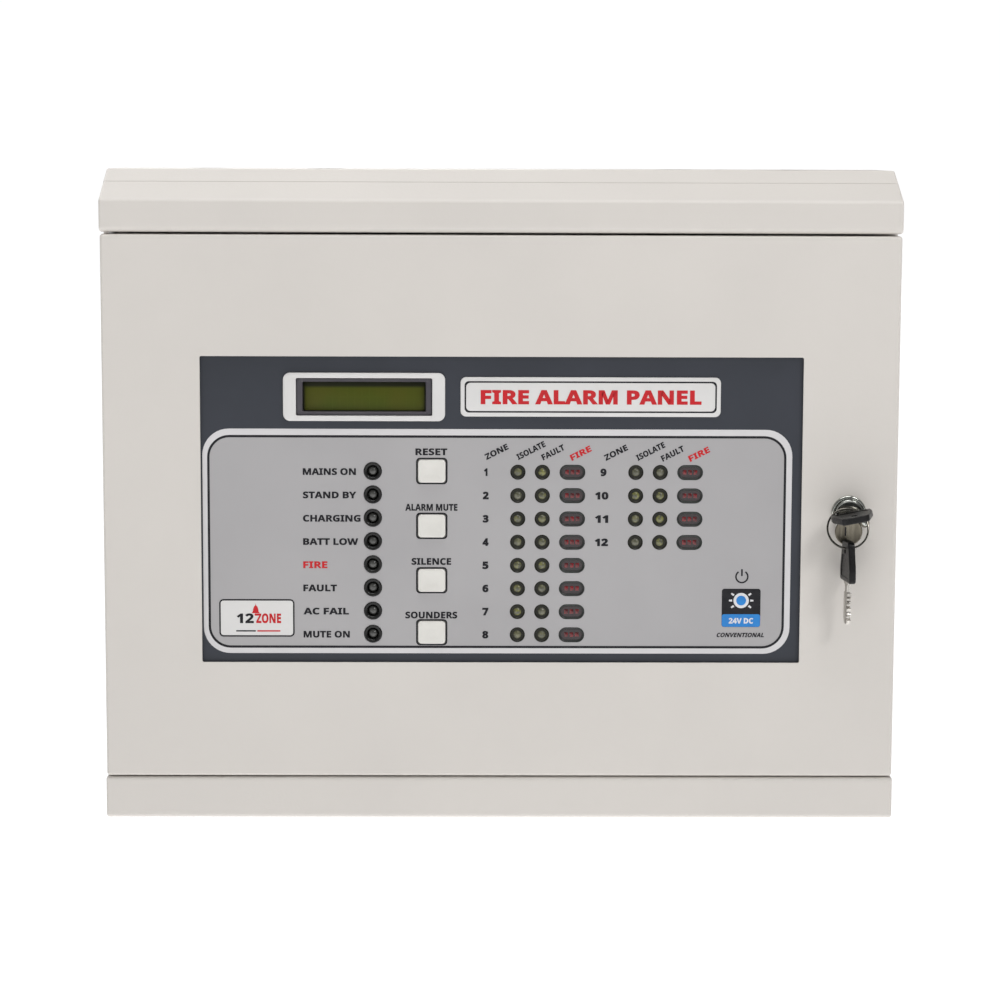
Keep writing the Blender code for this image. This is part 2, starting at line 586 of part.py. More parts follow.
def make_display():
    """The display board with its lamps, the four switches, and the LCD module with its glass."""
    outline = rounded(*DISPLAY_BOARD, 2, 1)
    board = piece("display_board", prism(outline, BOARD_FRONT, BOARD_BACK), BOARD)
    lamps = [prism(circle(x, z, LAMP_R, 6), -97.2, BOARD_FRONT + 0.4) for x, z in status_centres()]
    for fault_x, isolate_x, fire_x, rows in ZONE_BLOCKS:
        for row in range(rows):
            z = ROW_TOP - row * LED_PITCH
            lamps += [prism(circle(x, z, LAMP_R, 6), -96.6, BOARD_FRONT + 0.4) for x in (fault_x, isolate_x)]
            lamps.append(block(fire_x - 4.6, fire_x + 4.6, -96.4, BOARD_FRONT + 0.4, z - 2.1, z + 2.1))
    fuse(board, *lamps)
    for name, z in BUTTON_ROWS.items():
        switch = block(BUTTON_X - 3, BUTTON_X + 3, BOARD_FRONT - GAP - 2.4, BOARD_FRONT - GAP, z - 3, z + 3)
        obj = piece(f"{name}_switch", switch, BLACK)
        fuse(obj, prism(circle(BUTTON_X, z, 1.7, 8), BOARD_FRONT - 3.2, BOARD_FRONT - 2))
    module = piece("lcd_module", block(LCD_X - 40, LCD_X + 40, -90.4, -88.8, LCD_Z - 18, LCD_Z + 18), BLACK)
    fuse(module, block(LCD_X - 35.6, LCD_X + 35.6, -94.9, -90.0, LCD_Z - 12.5, LCD_Z + 12.5))
    cut(module, block(LCD_X - GLASS_W / 2 - GAP, LCD_X + GLASS_W / 2 + GAP, -96, -93.2,
                      LCD_Z - GLASS_H / 2 - GAP, LCD_Z + GLASS_H / 2 + GAP))
    piece("lcd_glass", block(LCD_X - GLASS_W / 2, LCD_X + GLASS_W / 2, -94.4, -93.5,
                             LCD_Z - GLASS_H / 2, LCD_Z + GLASS_H / 2), GREEN)


def make_buttons():
    """Push caps: a square cap in front, a wider skirt behind the plate, and a stem to the switch."""
    for name, z in BUTTON_ROWS.items():
        cap = prism(rounded(BUTTON_X, z, BUTTON_W, BUTTON_H, 1.6, 3), -99.3, PLATE_BACK + GAP + 0.5)
        obj = piece(f"{name}_button", cap, WHITE, (BUTTON_X, -99.3, z))
        skirt = prism(rounded(BUTTON_X, z, BUTTON_W + 3, BUTTON_H + 3, 1, 1), PLATE_BACK + GAP, PLATE_BACK + 1.3)
        fuse(obj, skirt)
        fuse(obj, prism(circle(BUTTON_X, z, 1.7, 8), PLATE_BACK + 1.0, BOARD_FRONT - 3.2 - GAP - BUTTON_TRAVEL))


# ---------------------------------------------------------------- lock and keys

def make_lock():
    """Cam lock: flange and barrel, a nut behind the door, a turning plug, and its cam."""
    flange_front = -CASE_D - GAP - 1.5
    barrel_end = -80.6
    bore = SHAFT_R + GAP
    profile = [(0, flange_front), (FLANGE_R - 0.6, flange_front), (FLANGE_R, flange_front + 0.6),
               (FLANGE_R, -CASE_D - GAP), (BARREL_R, -CASE_D - GAP), (BARREL_R, barrel_end), (0, barrel_end)]
    body = piece("lock_body", turned(profile, LOCK_X, LOCK_Z, 20), CHROME, smooth=True)
    cut(body, prism(circle(LOCK_X, LOCK_Z, bore, 16, 0.1), flange_front - 1, barrel_end + 1))
    pivot_post = turned([(0.9, -104.7), (0.9, flange_front + 0.4)], PIVOT_X, PIVOT_Z, 8)
    fuse(body, prism(circle(PIVOT_X, PIVOT_Z, 2.1, 12), flange_front + 0.2, -CASE_D - GAP))
    fuse(body, pivot_post)
    nut = prism(circle(LOCK_X, LOCK_Z, 12.4, 6), -98.5, -95.3, "y", [circle(LOCK_X, LOCK_Z, BARREL_R + GAP, 20)])
    piece("lock_nut", nut, STEEL)

    axis_point = (LOCK_X, -CASE_D, LOCK_Z)
    tilt = Matrix.Rotation(-KEY_TILT, 3, "Y")
    plug = turned([(0, -102.9), (PLUG_R - 0.5, -102.9), (PLUG_R, -102.5), (PLUG_R, flange_front - GAP),
                   (SHAFT_R, flange_front - GAP), (SHAFT_R, -79.0), (0, -79.0)], LOCK_X, LOCK_Z, 20)
    obj = piece("lock_plug", plug, CHROME, axis_point, tilt, smooth=True)
    turned_fuse(obj, block(LOCK_X - 3, LOCK_X + 3, -80, -76.0, LOCK_Z - 3, LOCK_Z + 3), axis_point, tilt, "UNION")
    keyway = block(LOCK_X - BLADE_W / 2 - GAP, LOCK_X + BLADE_W / 2 + GAP, -104, -81.5,
                   LOCK_Z - BLADE_T / 2 - GAP, LOCK_Z + BLADE_T / 2 + GAP)
    turned_fuse(obj, keyway, axis_point, tilt, "DIFFERENCE")
    turned_fuse(obj, prism(circle(LOCK_X, LOCK_Z, 1.9, 8), -80.5, -75), axis_point, tilt, "DIFFERENCE")

    arm = [(LOCK_X + x, LOCK_Z + z) for x, z in ((-4.5, -22), (4.5, -22))]
    hub = [(LOCK_X + 7.6 * cos(a), LOCK_Z + 7.6 * sin(a)) for a in [radians(-52 + 284 * i / 10) for i in range(11)]]
    square = rectangle(LOCK_X - 3.3, LOCK_X + 3.3, LOCK_Z - 3.3, LOCK_Z + 3.3)
    cam = prism(arm + hub, -78.3, -76.3, "y", [square])
    piece("lock_cam", cam, STEEL, axis_point, tilt)
    screw = turned([(0, -79.8), (1.5, -79.8), (1.5, -75.7), (5.2, -75.7), (5.2, -73.9), (0, -73.9)], LOCK_X, LOCK_Z, 12)
    piece("cam_screw", screw, STEEL, axis_point, smooth=True)

    cover_y = -103.2
    cover = prism(circle(COVER_X, COVER_Z, COVER_R, 20), cover_y - 1.0, cover_y)
    obj = piece("dust_cover", cover, STEEL, (PIVOT_X, cover_y, PIVOT_Z))
    fuse(obj, prism(circle(PIVOT_X, PIVOT_Z, 2.3, 12), cover_y - 1.0, cover_y))
    reach = Vector((COVER_X - PIVOT_X, COVER_Z - PIVOT_Z)).normalized()
    side = Vector((-reach.y, reach.x)) * 1.8
    base, tip = Vector((PIVOT_X, PIVOT_Z)), Vector((PIVOT_X, PIVOT_Z)) + reach * 4
    neck = [tuple(base + side), tuple(base - side), tuple(tip - side), tuple(tip + side)]
    fuse(obj, prism(neck, cover_y - 0.9, cover_y - 0.1))
    cut(obj, prism(circle(PIVOT_X, PIVOT_Z, 0.9 + GAP, 10), cover_y - 2, cover_y + 1))


def turned_fuse(obj, bm, origin, turn, operation):
    """A Boolean whose tool is turned with its object."""
    tool(obj, bm, operation)
    helper = obj.modifiers[-1].object
    helper.matrix_world = placed(origin, turn)
    return obj


def placed(origin, turn):
    """Turns a mesh that is modelled in world coordinates about a point."""
    point = Vector(origin) * MM
    return Matrix.Translation(point) @ turn.to_4x4() @ Matrix.Translation(-point)


# A key lies along local Y: the blade towards +Y, the bow towards -Y, its width along X, flat on XY.

def blade_outline():
    """The blade, from its root inside the bow to its tip, with cuts on one edge."""
    half = BLADE_W / 2
    root = -7.0
    waist = WAIST_W / 2
    right = [(half, root), (half, 1.4), (waist, 1.6), (waist, 5.3), (half, 5.5), (half, 7.0)]
    for i, depth in enumerate((1.6, 2.6, 1.2, 2.2)):
        y = 8.4 + 3 * i
        right += [(half - depth, y), (half - depth, y + 1), (half - 0.6, y + 2)]
    left = [(-half, 5.5), (-waist, 5.3), (-waist, 1.6), (-half, 1.4), (-half, root)]
    return right + [(half - 2.2, BLADE_L), (-half + 2.2, BLADE_L), (-half, BLADE_L - 2.5)] + left


def bow_outline():
    """The moulded bow: wide at the blade, narrower at its outer end."""
    wide, narrow = BOW_W / 2, BOW_END_W / 2
    outline = [(wide - 1.5, 0), (wide, -1.5), (wide, -6.5)]
    outline += [(narrow - 2.5 + 2.5 * cos(a), -BOW_L + 2.5 + 2.5 * sin(a)) for a in (0, -pi / 4, -pi / 2)]
    return outline + [(-x, y) for x, y in reversed(outline)]


def key_solids():
    """Blade and bow in the key's own frame, with its origin where the bow meets the blade."""
    half = BLADE_T / 2
    blade = prism(blade_outline(), -half, half, "z")
    hole = circle(0, -BOW_L + HOLE_INSET, HOLE_R, 12)
    bow = prism(bow_outline(), -BOW_T / 2, BOW_T / 2, "z", [hole])
    socket = block(-BLADE_W / 2 - GAP, BLADE_W / 2 + GAP, -7.0 - GAP, 1, -half - GAP, half + GAP)
    return blade, bow, socket


def place_key(blade_name, bow_name, matrix):
    """Puts one key in the world; matrix takes the key's own frame to world metres."""
    blade, bow, socket = key_solids()
    blade_obj = piece(blade_name, blade, STEEL)
    bow_obj = piece(bow_name, bow, BLACK)
    cut(bow_obj, socket)
    helper = bow_obj.modifiers[-1].object
    for obj in (blade_obj, bow_obj, helper):
        obj.matrix_world = matrix


def make_keys():
    """One key in the lock; a ring hangs on its neck and carries the spare."""
    tilt = Matrix.Rotation(-KEY_TILT, 4, "Y")
    place_key("key_blade", "key_bow", Matrix.Translation(Vector((LOCK_X, BOW_START, LOCK_Z)) * MM) @ tilt)

    # the ring's inside rests on the raised edge of the neck
    inner = RING_R - RING_WIRE
    rest = LOCK_Z + BLADE_T / 2 * cos(KEY_TILT) + WAIST_W / 2 * sin(KEY_TILT) + GAP
    drop = sqrt(inner ** 2 - (RING_SIDE + WAIST_W / 2 * cos(KEY_TILT)) ** 2)
    hang = Vector((LOCK_X - RING_SIDE, RING_Y, rest + RING_WIRE))
    lean = Matrix.Rotation(-RING_TILT, 4, "X")
    centre = hang + lean.to_3x3() @ Vector((0, 0, -drop - RING_WIRE))
    piece("key_ring", ring_mesh(RING_R, RING_WIRE, 24, 5), STEEL, smooth=True).matrix_world = (
        Matrix.Translation(centre * MM) @ lean)

    bottom = centre + lean.to_3x3() @ Vector((0, 0, -RING_R))
    upright_key = Matrix(((0, 0, 1, 0), (-1, 0, 0, 0), (0, -1, 0, 0), (0, 0, 0, 1)))
    yaw = Matrix.Rotation(radians(6), 4, "Z")
    hole = Vector((0, -BOW_L + HOLE_INSET, 0))
    sag = Vector((0, 0, -(HOLE_R - RING_WIRE - GAP)))
    spare = Matrix.Translation((bottom + sag) * MM) @ yaw @ upright_key @ Matrix.Translation(-hole * MM)
    place_key("spare_key_blade", "spare_key_bow", spare)


def ring_mesh(major, minor, around, section):
    """A wire ring in the XZ plane."""
    bm = bmesh.new()
    loops = []
    for i in range(around):
        a = tau * i / around
        loops.append([bm.verts.new(Vector(((major + minor * cos(b)) * cos(a), minor * sin(b),
                                           (major + minor * cos(b)) * sin(a))) * MM)
                      for b in [tau * j / section for j in range(section)]])
    for i in range(around):
        for j in range(section):
            k, m = (i + 1) % around, (j + 1) % section
            bm.faces.new((loops[i][j], loops[k][j], loops[k][m], loops[i][m]))
    bmesh.ops.recalc_face_normals(bm, faces=bm.faces[:])
    return bm


def build():
    clear_scene()
    make_back_box()
    make_front_strips()
    make_hinge_pins()
    make_grommets()
    make_board_parts(make_boards())
    make_transformer()
    make_leads(make_batteries())
    make_door_harness()
    make_door()
    make_fascia()
    make_status_bezels()
    make_display()
    make_buttons()
    make_lock()
    make_keys()


build()
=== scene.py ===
import bpy
import bmesh
import os
from math import cos, pi, radians, sin, sqrt, tan, tau
from mathutils import Matrix, Vector


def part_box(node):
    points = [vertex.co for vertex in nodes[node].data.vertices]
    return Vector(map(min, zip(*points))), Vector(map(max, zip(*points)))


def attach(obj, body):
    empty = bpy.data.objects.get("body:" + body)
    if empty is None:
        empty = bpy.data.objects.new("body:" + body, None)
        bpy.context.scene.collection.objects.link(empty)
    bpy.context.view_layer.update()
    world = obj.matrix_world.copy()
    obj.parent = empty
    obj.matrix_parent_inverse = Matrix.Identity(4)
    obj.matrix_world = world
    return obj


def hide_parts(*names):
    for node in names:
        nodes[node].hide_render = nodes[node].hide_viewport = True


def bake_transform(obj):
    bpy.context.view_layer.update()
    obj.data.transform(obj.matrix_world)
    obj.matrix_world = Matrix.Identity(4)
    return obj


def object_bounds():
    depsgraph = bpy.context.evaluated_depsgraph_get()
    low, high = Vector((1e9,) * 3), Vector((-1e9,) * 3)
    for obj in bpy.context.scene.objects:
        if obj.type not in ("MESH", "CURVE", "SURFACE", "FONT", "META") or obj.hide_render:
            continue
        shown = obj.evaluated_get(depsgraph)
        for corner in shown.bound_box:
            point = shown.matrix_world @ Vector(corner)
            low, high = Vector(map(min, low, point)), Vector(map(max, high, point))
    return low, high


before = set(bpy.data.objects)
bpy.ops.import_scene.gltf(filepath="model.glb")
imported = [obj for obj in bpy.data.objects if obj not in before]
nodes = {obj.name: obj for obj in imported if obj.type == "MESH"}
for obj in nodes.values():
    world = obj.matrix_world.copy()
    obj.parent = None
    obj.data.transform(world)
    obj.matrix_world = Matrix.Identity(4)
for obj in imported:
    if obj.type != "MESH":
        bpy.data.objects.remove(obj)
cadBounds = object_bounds()
mm = 0.001     # every size below is in millimetres


def spot(node):
    # lowest corner, highest corner and middle of a frame node, in mm
    low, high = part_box(node)
    return low / mm, high / mm, (low + high) / 2 / mm


def link(item):
    bpy.context.scene.collection.objects.link(item)


# ---- camera, floor and lights

cameraSettings = {"place": (-15.3, -1500.0, 174.5), "pitchDown": 7.13, "heading": 0.61, "roll": 0.2,
                  "lens": 101.1}
stageSettings = {"floorDrop": 640, "floorSize": 40000, "floorTone": 0.9, "floorGlow": 0.95, "ambient": 0.2}
softboxes = [
    # name, place, aim, width, height, watts
    ("keyLight", (1100, -1500, 1250), (0, -80, 0), 520, 420, 10.5),
    ("fillLight", (-1500, -1700, 500), (0, -80, 0), 1400, 1100, 2.0),
    ("topLight", (-100, -300, 1500), (0, -70, 100), 1300, 700, 16.5),
    ("backLight", (-600, 1500, 900), (0, -50, 0), 1600, 1000, 12),
]


def makeCamera():
    s = cameraSettings
    camera = bpy.data.objects.new("camera", bpy.data.cameras.new("camera"))
    turn = (Matrix.Rotation(radians(-s["heading"]), 4, "Z") @ Matrix.Rotation(radians(90 - s["pitchDown"]),
            4, "X") @ Matrix.Rotation(radians(s["roll"]), 4, "Z"))
    camera.matrix_world = Matrix.Translation(Vector(s["place"]) * mm) @ turn
    camera.data.lens = s["lens"]
    camera.data.sensor_width = 36
    camera.data.clip_end = 100
    link(camera)
    bpy.context.scene.camera = camera


def makeStage():
    s = stageSettings
    half = s["floorSize"] / 2
    bm = bmesh.new()
    corners = [(-half, -half), (half, -half), (half, half), (-half, half)]
    bm.faces.new([bm.verts.new(Vector((x, y, cadBounds[0].z / mm - s["floorDrop"])) * mm)
            for x, y in corners])
    mesh = bpy.data.meshes.new("floor")
    bm.to_mesh(mesh)
    bm.free()
    floor = bpy.data.objects.new("floor", mesh)
    link(floor)
    pale = bpy.data.materials.new("paleFloor")
    pale.use_nodes = True
    shader = pale.node_tree.nodes["Principled BSDF"]
    shader.inputs["Base Color"].default_value = (s["floorTone"],) * 3 + (1,)
    shader.inputs["Roughness"].default_value = 0.9
    shader.inputs["Emission Color"].default_value = (1, 1, 1, 1)
    shader.inputs["Emission Strength"].default_value = s["floorGlow"]
    mesh.materials.append(pale)
    # the sky is white behind the object and softer as a light
    world = bpy.data.worlds.new("studio")
    world.use_nodes = True
    tree = world.node_tree
    path = tree.nodes.new("ShaderNodeLightPath")
    strength = tree.nodes.new("ShaderNodeMapRange")
    strength.inputs["To Min"].default_value = s["ambient"]
    strength.inputs["To Max"].default_value = 1.02
    tree.links.new(path.outputs["Is Camera Ray"], strength.inputs["Value"])
    tree.links.new(strength.outputs["Result"], tree.nodes["Background"].inputs["Strength"])
    tree.nodes["Background"].inputs["Color"].default_value = (1, 1, 1, 1)
    bpy.context.scene.world = world
    bpy.context.scene.view_settings.view_transform = "Standard"
    for name, place, aim, width, height, watts in softboxes:
        light = bpy.data.lights.new(name, "AREA")
        light.shape = "RECTANGLE"
        light.size, light.size_y, light.energy = width * mm, height * mm, watts
        lamp = bpy.data.objects.new(name, light)
        lamp.location = Vector(place) * mm
        lamp.rotation_euler = (Vector(aim) - Vector(place)).to_track_quat("-Z", "Y").to_euler()
        link(lamp)


makeCamera()
makeStage()
print("camera, floor and lights are in place")


# ---- shared surface effects

def shaderGroup(name, inputs, outputs):
    group = bpy.data.node_groups.new(name, "ShaderNodeTree")
    for kind, label, value in inputs:
        socket = group.interface.new_socket(label, in_out="INPUT", socket_type=kind)
        socket.default_value = value
    for kind, label in outputs:
        group.interface.new_socket(label, in_out="OUTPUT", socket_type=kind)
    return group, group.nodes.new("NodeGroupInput"), group.nodes.new("NodeGroupOutput")


def objectPlace(tree):
    return tree.nodes.new("ShaderNodeTexCoord").outputs["Object"]


def noiseOf(tree, vector, scale, detail=2.0):
    noise = tree.nodes.new("ShaderNodeTexNoise")
    noise.inputs["Detail"].default_value = detail
    tree.links.new(vector, noise.inputs["Vector"])
    if isinstance(scale, (int, float)):
        noise.inputs["Scale"].default_value = scale
    else:
        tree.links.new(scale, noise.inputs["Scale"])
    return noise.outputs["Fac"]


def ranged(tree, value, low, high, toLow=0.0, toHigh=1.0):
    node = tree.nodes.new("ShaderNodeMapRange")
    node.inputs["From Min"].default_value, node.inputs["From Max"].default_value = low, high
    node.inputs["To Min"].default_value, node.inputs["To Max"].default_value = toLow, toHigh
    tree.links.new(value, node.inputs["Value"])
    return node.outputs["Result"]


def calculated(tree, operation, *values):
    node = tree.nodes.new("ShaderNodeMath")
    node.operation = operation
    for socket, value in zip(node.inputs, values):
        if isinstance(value, (int, float)):
            socket.default_value = value
        else:
            tree.links.new(value, socket)
    return node.outputs[0]


def blended(tree, factor, first, second):
    node = tree.nodes.new("ShaderNodeMix")
    node.data_type = "RGBA"
    tree.links.new(factor, node.inputs[0])
    for socket, value in ((node.inputs[6], first), (node.inputs[7], second)):
        if isinstance(value, tuple):
            socket.default_value = value if len(value) == 4 else (*value, 1)
        else:
            tree.links.new(value, socket)
    return node.outputs[2]


grainInputs = [("NodeSocketColor", "Colour", (0.5, 0.5, 0.5, 1)), ("NodeSocketColor", "Patch Colour",
               (0.4, 0.4, 0.4, 1)),
               ("NodeSocketFloat", "Patch Scale", 20.0), ("NodeSocketFloat", "Grain Scale", 900.0),
               ("NodeSocketFloat", "Roughness", 0.5), ("NodeSocketFloat", "Roughness Spread", 0.1)]
surfaceOutputs = [("NodeSocketColor", "Colour"), ("NodeSocketFloat", "Roughness"), ("NodeSocketFloat",
                  "Height")]


def makeGrainGroup():
    # soft patches of a second colour, and a fine grain for bump and roughness
    group, given, out = shaderGroup("surfaceGrain", grainInputs, surfaceOutputs)
    place = objectPlace(group)
    patches = ranged(group, noiseOf(group, place, given.outputs["Patch Scale"], 3), 0.35, 0.68)
    grain = noiseOf(group, place, given.outputs["Grain Scale"], 2)
    spread = calculated(group, "MULTIPLY", ranged(group, grain, 0.3, 0.7, -0.5, 0.5),
            given.outputs["Roughness Spread"])
    group.links.new(blended(group, patches, given.outputs["Colour"], given.outputs["Patch Colour"]),
            out.inputs["Colour"])
    group.links.new(calculated(group, "ADD", spread, given.outputs["Roughness"]), out.inputs["Roughness"])
    group.links.new(grain, out.inputs["Height"])
    return group


brushInputs = [("NodeSocketColor", "Colour", (0.6, 0.6, 0.6, 1)), ("NodeSocketColor", "Streak Colour",
               (0.4, 0.4, 0.4, 1)),
               ("NodeSocketVector", "Stretch", (40, 900, 900)), ("NodeSocketFloat", "Roughness", 0.3),
               ("NodeSocketFloat", "Roughness Spread", 0.15)]


def makeBrushGroup():
    # fine streaks along the axis with the smallest stretch value
    group, given, out = shaderGroup("brushedStreaks", brushInputs, surfaceOutputs)
    place = objectPlace(group)
    stretched = group.nodes.new("ShaderNodeVectorMath")
    stretched.operation = "MULTIPLY"
    group.links.new(place, stretched.inputs[0])
    group.links.new(given.outputs["Stretch"], stretched.inputs[1])
    streaks = noiseOf(group, stretched.outputs[0], 1.0, 4)
    tarnish = ranged(group, noiseOf(group, place, 120.0, 3), 0.4, 0.75)
    mixed = calculated(group, "MULTIPLY", ranged(group, streaks, 0.35, 0.7), calculated(group, "ADD",
            tarnish, 0.35))
    spread = calculated(group, "MULTIPLY", ranged(group, streaks, 0.3, 0.7, -0.5, 0.5),
            given.outputs["Roughness Spread"])
    group.links.new(blended(group, mixed, given.outputs["Colour"], given.outputs["Streak Colour"]),
            out.inputs["Colour"])
    group.links.new(calculated(group, "ADD", spread, given.outputs["Roughness"]), out.inputs["Roughness"])
    group.links.new(streaks, out.inputs["Height"])
    return group


surfaceGrain = makeGrainGroup()
brushedStreaks = makeBrushGroup()


# ---- finishes

finishes = {}


def newFinish(name, settings):
    material = bpy.data.materials.new(name)
    material.use_nodes = True
    shader = material.node_tree.nodes["Principled BSDF"]
    for socket, value in settings.items():
        shader.inputs[socket].default_value = value
    finishes[name] = material
    return material.node_tree, shader


def placeGroup(tree, group, settings):
    node = tree.nodes.new("ShaderNodeGroup")
    node.node_tree = group
    for socket, value in settings.items():
        node.inputs[socket].default_value = (*value, 1) if "Colour" in socket else value
    return node


def addBump(tree, shader, height, depth):
    bump = tree.nodes.new("ShaderNodeBump")
    bump.inputs["Distance"].default_value = depth * mm
    tree.links.new(height, bump.inputs["Height"])
    tree.links.new(bump.outputs["Normal"], shader.inputs["Normal"])


def grainFinish(name, colour, patch, patchScale, grainScale, roughness, spread, depth, settings={}):
    # depth is the bump's height in mm
    tree, shader = newFinish(name, settings)
    group = placeGroup(tree, surfaceGrain, {"Colour": colour, "Patch Colour": patch,
            "Patch Scale": patchScale, "Grain Scale": grainScale, "Roughness": roughness,
            "Roughness Spread": spread})
    tree.links.new(group.outputs["Colour"], shader.inputs["Base Color"])
    tree.links.new(group.outputs["Roughness"], shader.inputs["Roughness"])
    addBump(tree, shader, group.outputs["Height"], depth)
    return tree, shader, group


def brushFinish(name, colour, streak, stretch, roughness, spread, depth):
    tree, shader = newFinish(name, {"Metallic": 1.0})
    group = placeGroup(tree, brushedStreaks, {"Colour": colour, "Streak Colour": streak, "Stretch": stretch,
            "Roughness": roughness, "Roughness Spread": spread})
    tree.links.new(group.outputs["Colour"], shader.inputs["Base Color"])
    tree.links.new(group.outputs["Roughness"], shader.inputs["Roughness"])
    addBump(tree, shader, group.outputs["Height"], depth)
    return tree, shader, group


def facingFront(tree, place):
    # the separate places, and X with Z laid flat
    parts = tree.nodes.new("ShaderNodeSeparateXYZ")
    tree.links.new(place, parts.inputs[0])
    flat = tree.nodes.new("ShaderNodeCombineXYZ")
    tree.links.new(parts.outputs["X"], flat.inputs["X"])
    tree.links.new(parts.outputs["Z"], flat.inputs["Y"])
    return parts, flat


def makeCaseCream():
    # powder coat: an orange-peel skin with a finer grain on it
    tree, shader, group = grainFinish("caseCream", (0.655, 0.622, 0.585), (0.635, 0.603, 0.568), 14.0,
            1500.0, 0.46, 0.12, 0.03, {"Specular IOR Level": 0.45})
    place = objectPlace(tree)
    peel = noiseOf(tree, place, 520.0, 1.5)
    height = calculated(tree, "ADD", calculated(tree, "MULTIPLY", peel, 1.6), group.outputs["Height"])
    tree.links.new(height, tree.nodes["Bump"].inputs["Height"])


def makeDisplayGreen():
    # green display glass with faint character cells, and painted shade along its top and ends
    tree, shader = newFinish("displayGreen", {"Roughness": 0.45, "Specular IOR Level": 0.2})
    low, high, mid = spot("lcd_glass")
    place = objectPlace(tree)
    parts, flat = facingFront(tree, place)
    shift = tree.nodes.new("ShaderNodeMapping")
    shift.inputs["Location"].default_value = (-low.x * mm, -low.z * mm, 0)
    tree.links.new(flat.outputs[0], shift.inputs["Vector"])
    cells = tree.nodes.new("ShaderNodeTexBrick")
    cells.offset = 0
    cells.inputs["Scale"].default_value = 1.0
    cells.inputs["Brick Width"].default_value = (high.x - low.x) / 16.6 * mm
    cells.inputs["Row Height"].default_value = (high.z - low.z) / 2.1 * mm
    cells.inputs["Mortar Size"].default_value = 0.0003
    cells.inputs["Mortar Smooth"].default_value = 0.4
    cells.inputs["Color1"].default_value = (0.066, 0.086, 0.006, 1)
    cells.inputs["Color2"].default_value = (0.066, 0.086, 0.006, 1)
    cells.inputs["Mortar"].default_value = (0.072, 0.094, 0.008, 1)
    tree.links.new(shift.outputs[0], cells.inputs["Vector"])
    cloud = ranged(tree, noiseOf(tree, place, 45.0, 2), 0.35, 0.65)
    warm = blended(tree, cloud, cells.outputs["Color"], (0.08, 0.085, 0.008))
    # painted shade: the colour is darkened along the top and both ends where the frame's shadow falls
    top = ranged(tree, parts.outputs["Z"], (high.z - 3.4) * mm, (high.z - 1.9) * mm)
    left = ranged(tree, parts.outputs["X"], (low.x + 1.5) * mm, (low.x + 0.4) * mm)
    right = ranged(tree, parts.outputs["X"], (high.x - 1.2) * mm, (high.x - 0.3) * mm)
    shade = calculated(tree, "MAXIMUM", top, calculated(tree, "MAXIMUM", left, right))
    edge = calculated(tree, "MULTIPLY", shade, 0.88)
    tree.links.new(blended(tree, edge, warm, (0.012, 0.013, 0.010)), shader.inputs["Base Color"])


def makeBoardGreen():
    # solder mask over thin raised traces
    tree, shader, group = grainFinish("boardGreen", (0.012, 0.13, 0.045), (0.01, 0.10, 0.035), 35.0, 1800.0,
            0.32, 0.1, 0.01, {"Coat Weight": 0.2, "Coat Roughness": 0.2})
    place = objectPlace(tree)
    flat = facingFront(tree, place)[1]
    traces = tree.nodes.new("ShaderNodeTexBrick")
    traces.offset, traces.offset_frequency, traces.squash, traces.squash_frequency = 0.37, 3, 0.6, 4
    traces.inputs["Scale"].default_value = 1.0
    traces.inputs["Brick Width"].default_value = 0.021
    traces.inputs["Row Height"].default_value = 0.0021
    traces.inputs["Mortar Size"].default_value = 0.00025
    traces.inputs["Mortar Smooth"].default_value = 0.1
    tree.links.new(flat.outputs[0], traces.inputs["Vector"])
    copper = calculated(tree, "MULTIPLY", traces.outputs["Fac"], 0.75)
    tree.links.new(blended(tree, copper, group.outputs["Colour"], (0.03, 0.22, 0.07)),
            shader.inputs["Base Color"])
    tree.links.new(traces.outputs["Fac"], tree.nodes["Bump"].inputs["Height"])
    tree.nodes["Bump"].inputs["Distance"].default_value = 0.03 * mm


def makeLampLens():
    # clear lenses over lamps that aren't lit: each takes a slightly different tint
    tree, shader = newFinish("lampLens", {"Roughness": 0.22, "Coat Weight": 0.4, "Coat Roughness": 0.05})
    place = objectPlace(tree)
    tint = ranged(tree, noiseOf(tree, place, 55.0, 1), 0.38, 0.62)
    cup = ranged(tree, noiseOf(tree, place, 650.0, 2), 0.4, 0.6)
    body = blended(tree, tint, (0.13, 0.125, 0.085), (0.19, 0.19, 0.05))
    tree.links.new(blended(tree, cup, body, (0.08, 0.08, 0.05)), shader.inputs["Base Color"])


def makeFireChip():
    tree, shader = newFinish("fireChip", {"Roughness": 0.25, "Coat Weight": 0.3, "Coat Roughness": 0.08})
    place = objectPlace(tree)
    tint = ranged(tree, noiseOf(tree, place, 700.0, 2), 0.4, 0.62)
    tree.links.new(blended(tree, tint, (0.20, 0.008, 0.012), (0.06, 0.006, 0.008)),
            shader.inputs["Base Color"])


